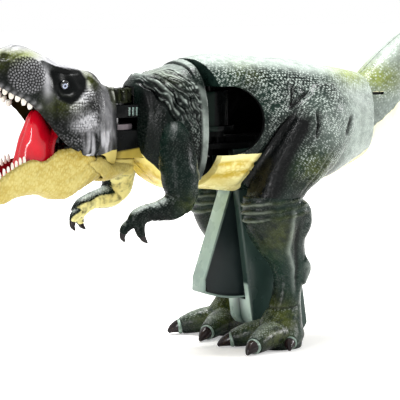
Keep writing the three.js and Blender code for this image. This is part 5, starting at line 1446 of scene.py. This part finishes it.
def legs():
    for word, side in SIDES.items():
        form = along_z(SHANK, side, 0, 150, 80, 0.03)
        spigot = along_z(((80, -17, 9.5, 27, 9.6), (91, -13, 12.5, 26.7, 9.6)), side, 0, 30, 40)
        join(form, spigot, *(along_path(toe, side, 50, 36) for toe in TOES))
        fuse(form, 0.6, 6)
        p = points(form)
        x, y, z = p.T
        outer = step((y * side - 26) / 10, 0, 0.5)
        height = 0.12 * ripple(p, 51, 12) + cuff(p)
        height += 1.4 * mark(p, CALF, 3.2)
        height += 1.0 * mark(p, TENDON, 1.4) * outer
        height -= 0.9 * mark(p, SHIN_GROOVE, 1.2) * outer
        height += 1.5 * mark(p, HEEL, 2.2, 0.05)
        height -= 0.8 * mark(p, ANKLE_FOLD, 0.8)
        for shift in (0, 4, 8):
            height -= 0.35 * mark(p, ((-4, 33 + shift), (4, 31 + shift), (10, 33 + shift)), 0.6)
        push(form, height * step(z, 1.0, 4))
        above_floor(form)
        p = points(form)
        x, y, z = p.T
        n = normals(form)
        rings = np.clip(cuff(p), 0, 1)
        # Painted shade in the shin groove and the ankle fold; painted highlights on the knee rings, the
        # rear-facing ankle, the heel, the tendon and upward faces
        paint(
            form,
            brush=0.05 + 0.5 * step(n[:, 2], 0.3, 0.9) * step(30 - z, 0, 6) + 0.15 * mark(p, CALF, 3.2),
            olive=0.35 * blob(p, -8, 62, 8, 10) + 0.6 * blob(p, -4, 18, 9, 9) + 0.15 * rings
            + 0.4 * blob(p, -14, 9, 8, 5),
            shade=0.8 * mark(p, SHIN_GROOVE, 1.4) * outer + 0.7 * mark(p, ANKLE_FOLD, 0.7),
            plain=0.7 * rings,
            sheen=0.22 * rings ** 3 * step(-12 - x, 0, 6)
            + 0.3 * step(n[:, 0], 0.35, 0.9) * step(z, 16, 30)
            + 0.3 * mark(p, HEEL_SHEEN, 1.8)
            + 0.3 * mark(p, TENDON, 1.2) * outer + 0.25 * step(n[:, 2], 0.6, 0.95) * step(20 - z, 0, 5),
        )
        dress(form, limb_paint, cuticle)
        join(form, *cuticles(side))
        form.name = f"leg_skin_{word}"
        settle(form, "root", "skin_green", f"leg_{word}")
        for i, claw in enumerate(CLAWS):
            tip = along_path(claw, side, 40, 32)
            above_floor(tip)
            tip.name = f"toe_claw_{word}_{i + 1}"
            dress(tip, claw_black)
            settle(tip, "root", "frame_black")


# Tail

def tail():
    form = along_tail(TAIL)
    fuse(form, 0.75, 4)
    push(form, 0.3 * ripple(points(form), 61, 20))
    hollow = fuse(along_tail(((60, 122.6, 0, 15.4, 20.6), *TAIL[1:8]), -WALL, 60, 40), 1.6, 1)
    cut(
        form,
        hollow,
        block((50, -20, 112), (66.6, 7, 121)),
        post(4.75, 95, 150, TAIL_AXIS_X),
        block((68.5, -20, 134.6), (75.5, -13.4, 136.2)),
    )
    p = points(form)
    n = normals(form)
    under = step(-n[:, 2] + 0.6 * n[:, 0], 0.0, 0.35)
    # Painted highlights: the whole tail lightened, more so on its upward faces
    paint(
        form,
        cream=under,
        brush=0.3 + 0.6 * step(n[:, 2] - 0.3 * n[:, 0], 0.1, 0.8),
        olive=0.9 * blob(p, 74, 144, 14, 8) + 0.5 * blob(p, 104, 152, 12, 12),
        plain=0.6 * under,
        sheen=0.42 + 0.4 * step(n[:, 2] - 0.3 * n[:, 0], 0.3, 0.9),
    )
    dress(form, tail_paint, cavity_shade_black)
    halves(form, "tail", "skin_green", "tail_skin", "tail_shell")


# Grip and trigger

# The painted highlight on the grip's toe face ends between these two heights
GRIP_PAINT_EDGE = (33, 34.5)


def grip():
    form = plate(GRIP, -GRIP_HALF, GRIP_HALF)
    apply(form, "BEVEL", width=1.3 * MM, segments=3, limit_method="ANGLE", angle_limit=math.radians(20))
    inside = inset(GRIP, WALL)
    inside[0] = (inside[0][0], GRIP_TOP + 2)
    inside[-1] = (inside[-1][0], GRIP_TOP + 2)
    cut(
        form,
        plate(inside, -GRIP_HALF + WALL, GRIP_HALF - WALL),
        block((-40, -7, 24.7), (-6, 7, GRIP_TOP + 1)),
        block((-7, -7, 30), (0, 7, GRIP_TOP + 1)),
        rod(2.3, -10.9, 10.9, *TRIGGER_AXIS),
    )
    edit(form)
    for height in GRIP_PAINT_EDGE:
        bpy.ops.mesh.select_all(action="SELECT")
        bpy.ops.mesh.bisect(plane_co=(0, 0, height * MM), plane_no=(0, 0, 1))
    leave_edit()
    p = points(form)
    x, y, z = p.T
    front, _ = from_line(x, z, GRIP[:2])
    toe, _ = from_line(x, z, GRIP[1:3])
    # Painted highlight on the front and toe faces below the trigger
    face = step(0.3 - np.minimum(front, toe), 0, 0.2) * step(34 - z, -0.4, 0.4)
    paint(form, sheen=face * step(GRIP_HALF - 1 - np.abs(y), -0.5, 0))
    dress(form, grip_green, cavity_shade_black)
    halves(form, "root", "grip_green", "grip_side", "grip_shell")


def wedge_outline(reach):
    top, bottom = (-19.6, 86), (-36.5, 37.4)
    start = math.atan2(bottom[1] - 4.5 - TRIGGER_AXIS[1], bottom[0] + 0.8 - TRIGGER_AXIS[0])
    bow = arc(*TRIGGER_AXIS, reach, start, math.atan2(-1, 0.07), 32)
    x, z = TRIGGER_AXIS
    return [top, bottom, *bow, (x + 4, z), (x - 3.1, z)]


def trigger():
    outline = wedge_outline(66.3)
    form = plate(outline, -TRIGGER_HALF, TRIGGER_HALF)
    apply(form, "BEVEL", width=0.5 * MM, segments=2, limit_method="ANGLE", angle_limit=math.radians(35))
    recess = inset(outline, 1.3)
    cut(
        form,
        plate(recess, -TRIGGER_HALF - 2, -TRIGGER_HALF + 2.6),
        plate(recess, TRIGGER_HALF - 2.6, TRIGGER_HALF + 2),
    )
    cut(form, rod(4.6, -TRIGGER_HALF, TRIGGER_HALF, *TRIGGER_AXIS), operation="UNION")
    p = points(form)
    x, y, z = p.T
    front, _ = from_line(x, z, outline[:2])
    bow, _ = from_line(x, z, outline[1:-2])
    # Painted highlight on the front strip, brighter towards the top, and along the bottom bow
    strip = step(0.35 - front, 0, 0.2) * step(TRIGGER_HALF - 0.4 - np.abs(y), -0.1, 0.1)
    paint(form, sheen=strip * (0.2 + 0.8 * step(z, 45, 88)) + 0.5 * step(1.1 - bow, 0, 0.3))
    dress(form, trigger_green, sector_shade_black)
    form.name = "trigger_wedge"
    settle(form, "trigger", "grip_green", "trigger")


# Camera, floor and light

def stage():
    bpy.ops.object.select_all(action="DESELECT")
    bpy.ops.mesh.primitive_plane_add(size=8)
    floor = bpy.context.object
    floor.name = "floor"
    material, tree, shader = blank("floor_white")
    shader.inputs["Base Color"].default_value = (0.88, 0.87, 0.86, 1)
    shader.inputs["Roughness"].default_value = 0.6
    shader.inputs["Specular IOR Level"].default_value = 0.2
    path = node(tree, "ShaderNodeLightPath")
    place = node(tree, "ShaderNodeTexCoord").outputs["Object"]
    away = node(tree, "ShaderNodeVectorMath", operation="LENGTH")
    tree.links.new(place, away.inputs[0])
    level = ramp(tree, away.outputs["Value"], 0.25, 0.8, 0.36, 1.0)
    glow = maths(tree, "MULTIPLY", path.outputs["Is Camera Ray"], level)
    shader.inputs["Emission Color"].default_value = (1, 1, 1, 1)
    tree.links.new(glow, shader.inputs["Emission Strength"])
    floor.data.materials.append(material)


def world():
    sky = bpy.data.worlds.new("studio")
    bpy.context.scene.world = sky
    sky.use_nodes = True
    tree = sky.node_tree
    tree.nodes.clear()
    path = node(tree, "ShaderNodeLightPath")
    seen = maths(tree, "MAXIMUM", path.outputs["Is Camera Ray"], path.outputs["Is Glossy Ray"])
    seen = maths(tree, "MAXIMUM", seen, path.outputs["Is Transmission Ray"])
    light = node(tree, "ShaderNodeBackground")
    light.inputs["Color"].default_value = (1, 1, 1, 1)
    tree.links.new(ramp(tree, seen, 0, 1, 0.35, 1.0), light.inputs["Strength"])
    out = node(tree, "ShaderNodeOutputWorld")
    tree.links.new(light.outputs[0], out.inputs["Surface"])


def lamp(name, place, target, size, power):
    light = bpy.data.lights.new(name, "AREA")
    light.shape = "RECTANGLE"
    light.size, light.size_y = size
    light.energy = power
    piece = bpy.data.objects.new(name, light)
    bpy.context.scene.collection.objects.link(piece)
    piece.location = place
    piece.rotation_euler = (Vector(target) - Vector(place)).to_track_quat("-Z", "Y").to_euler()


def camera():
    lens = bpy.data.cameras.new("camera")
    lens.lens = CAMERA_LENS
    lens.sensor_width = 36
    piece = bpy.data.objects.new("camera", lens)
    bpy.context.scene.collection.objects.link(piece)
    piece.location = CAMERA_PLACE
    aim = Vector(CAMERA_AIM) - piece.location
    piece.rotation_euler = aim.to_track_quat("-Z", "Y").to_euler()
    bpy.context.scene.camera = piece


# Inner parts keep their solids and get their finish here

FINISHES = {
    cavity_shade_black: ("inner_frame", "drive_slider", "neck_link"),
    black_plastic: ("jaw_link", "tail_crank"),
    link_highlight_grey: ("neck_crank",),
    dark_steel: ("chest_pin", "trigger_spring"),
    steel: (
        "trigger_pin", "tail_pin", "neck_pin", "jaw_pin",
        "body_screw_upper_front", "body_screw_upper_rear", "body_screw_lower_rear",
        "grip_screw_upper", "grip_screw_lower", "chest_screw_upper", "chest_screw_lower",
        "head_screw_rear", "head_screw_front", "tail_screw_front", "tail_screw_rear",
    ),
}

camera()
world()
stage()
for settings in LAMPS:
    lamp(*settings)

body()
chest()
chest_block()
arms()
head()
throat()
eyes()
teeth()
jaw()
tongue()
legs()
tail()
grip()
trigger()

for finish, names in FINISHES.items():
    for name in names:
        solid = bpy.data.objects[name]
        solid.data.materials.clear()
        solid.data.materials.append(finish)

bpy.context.scene.view_settings.view_transform = "Standard"
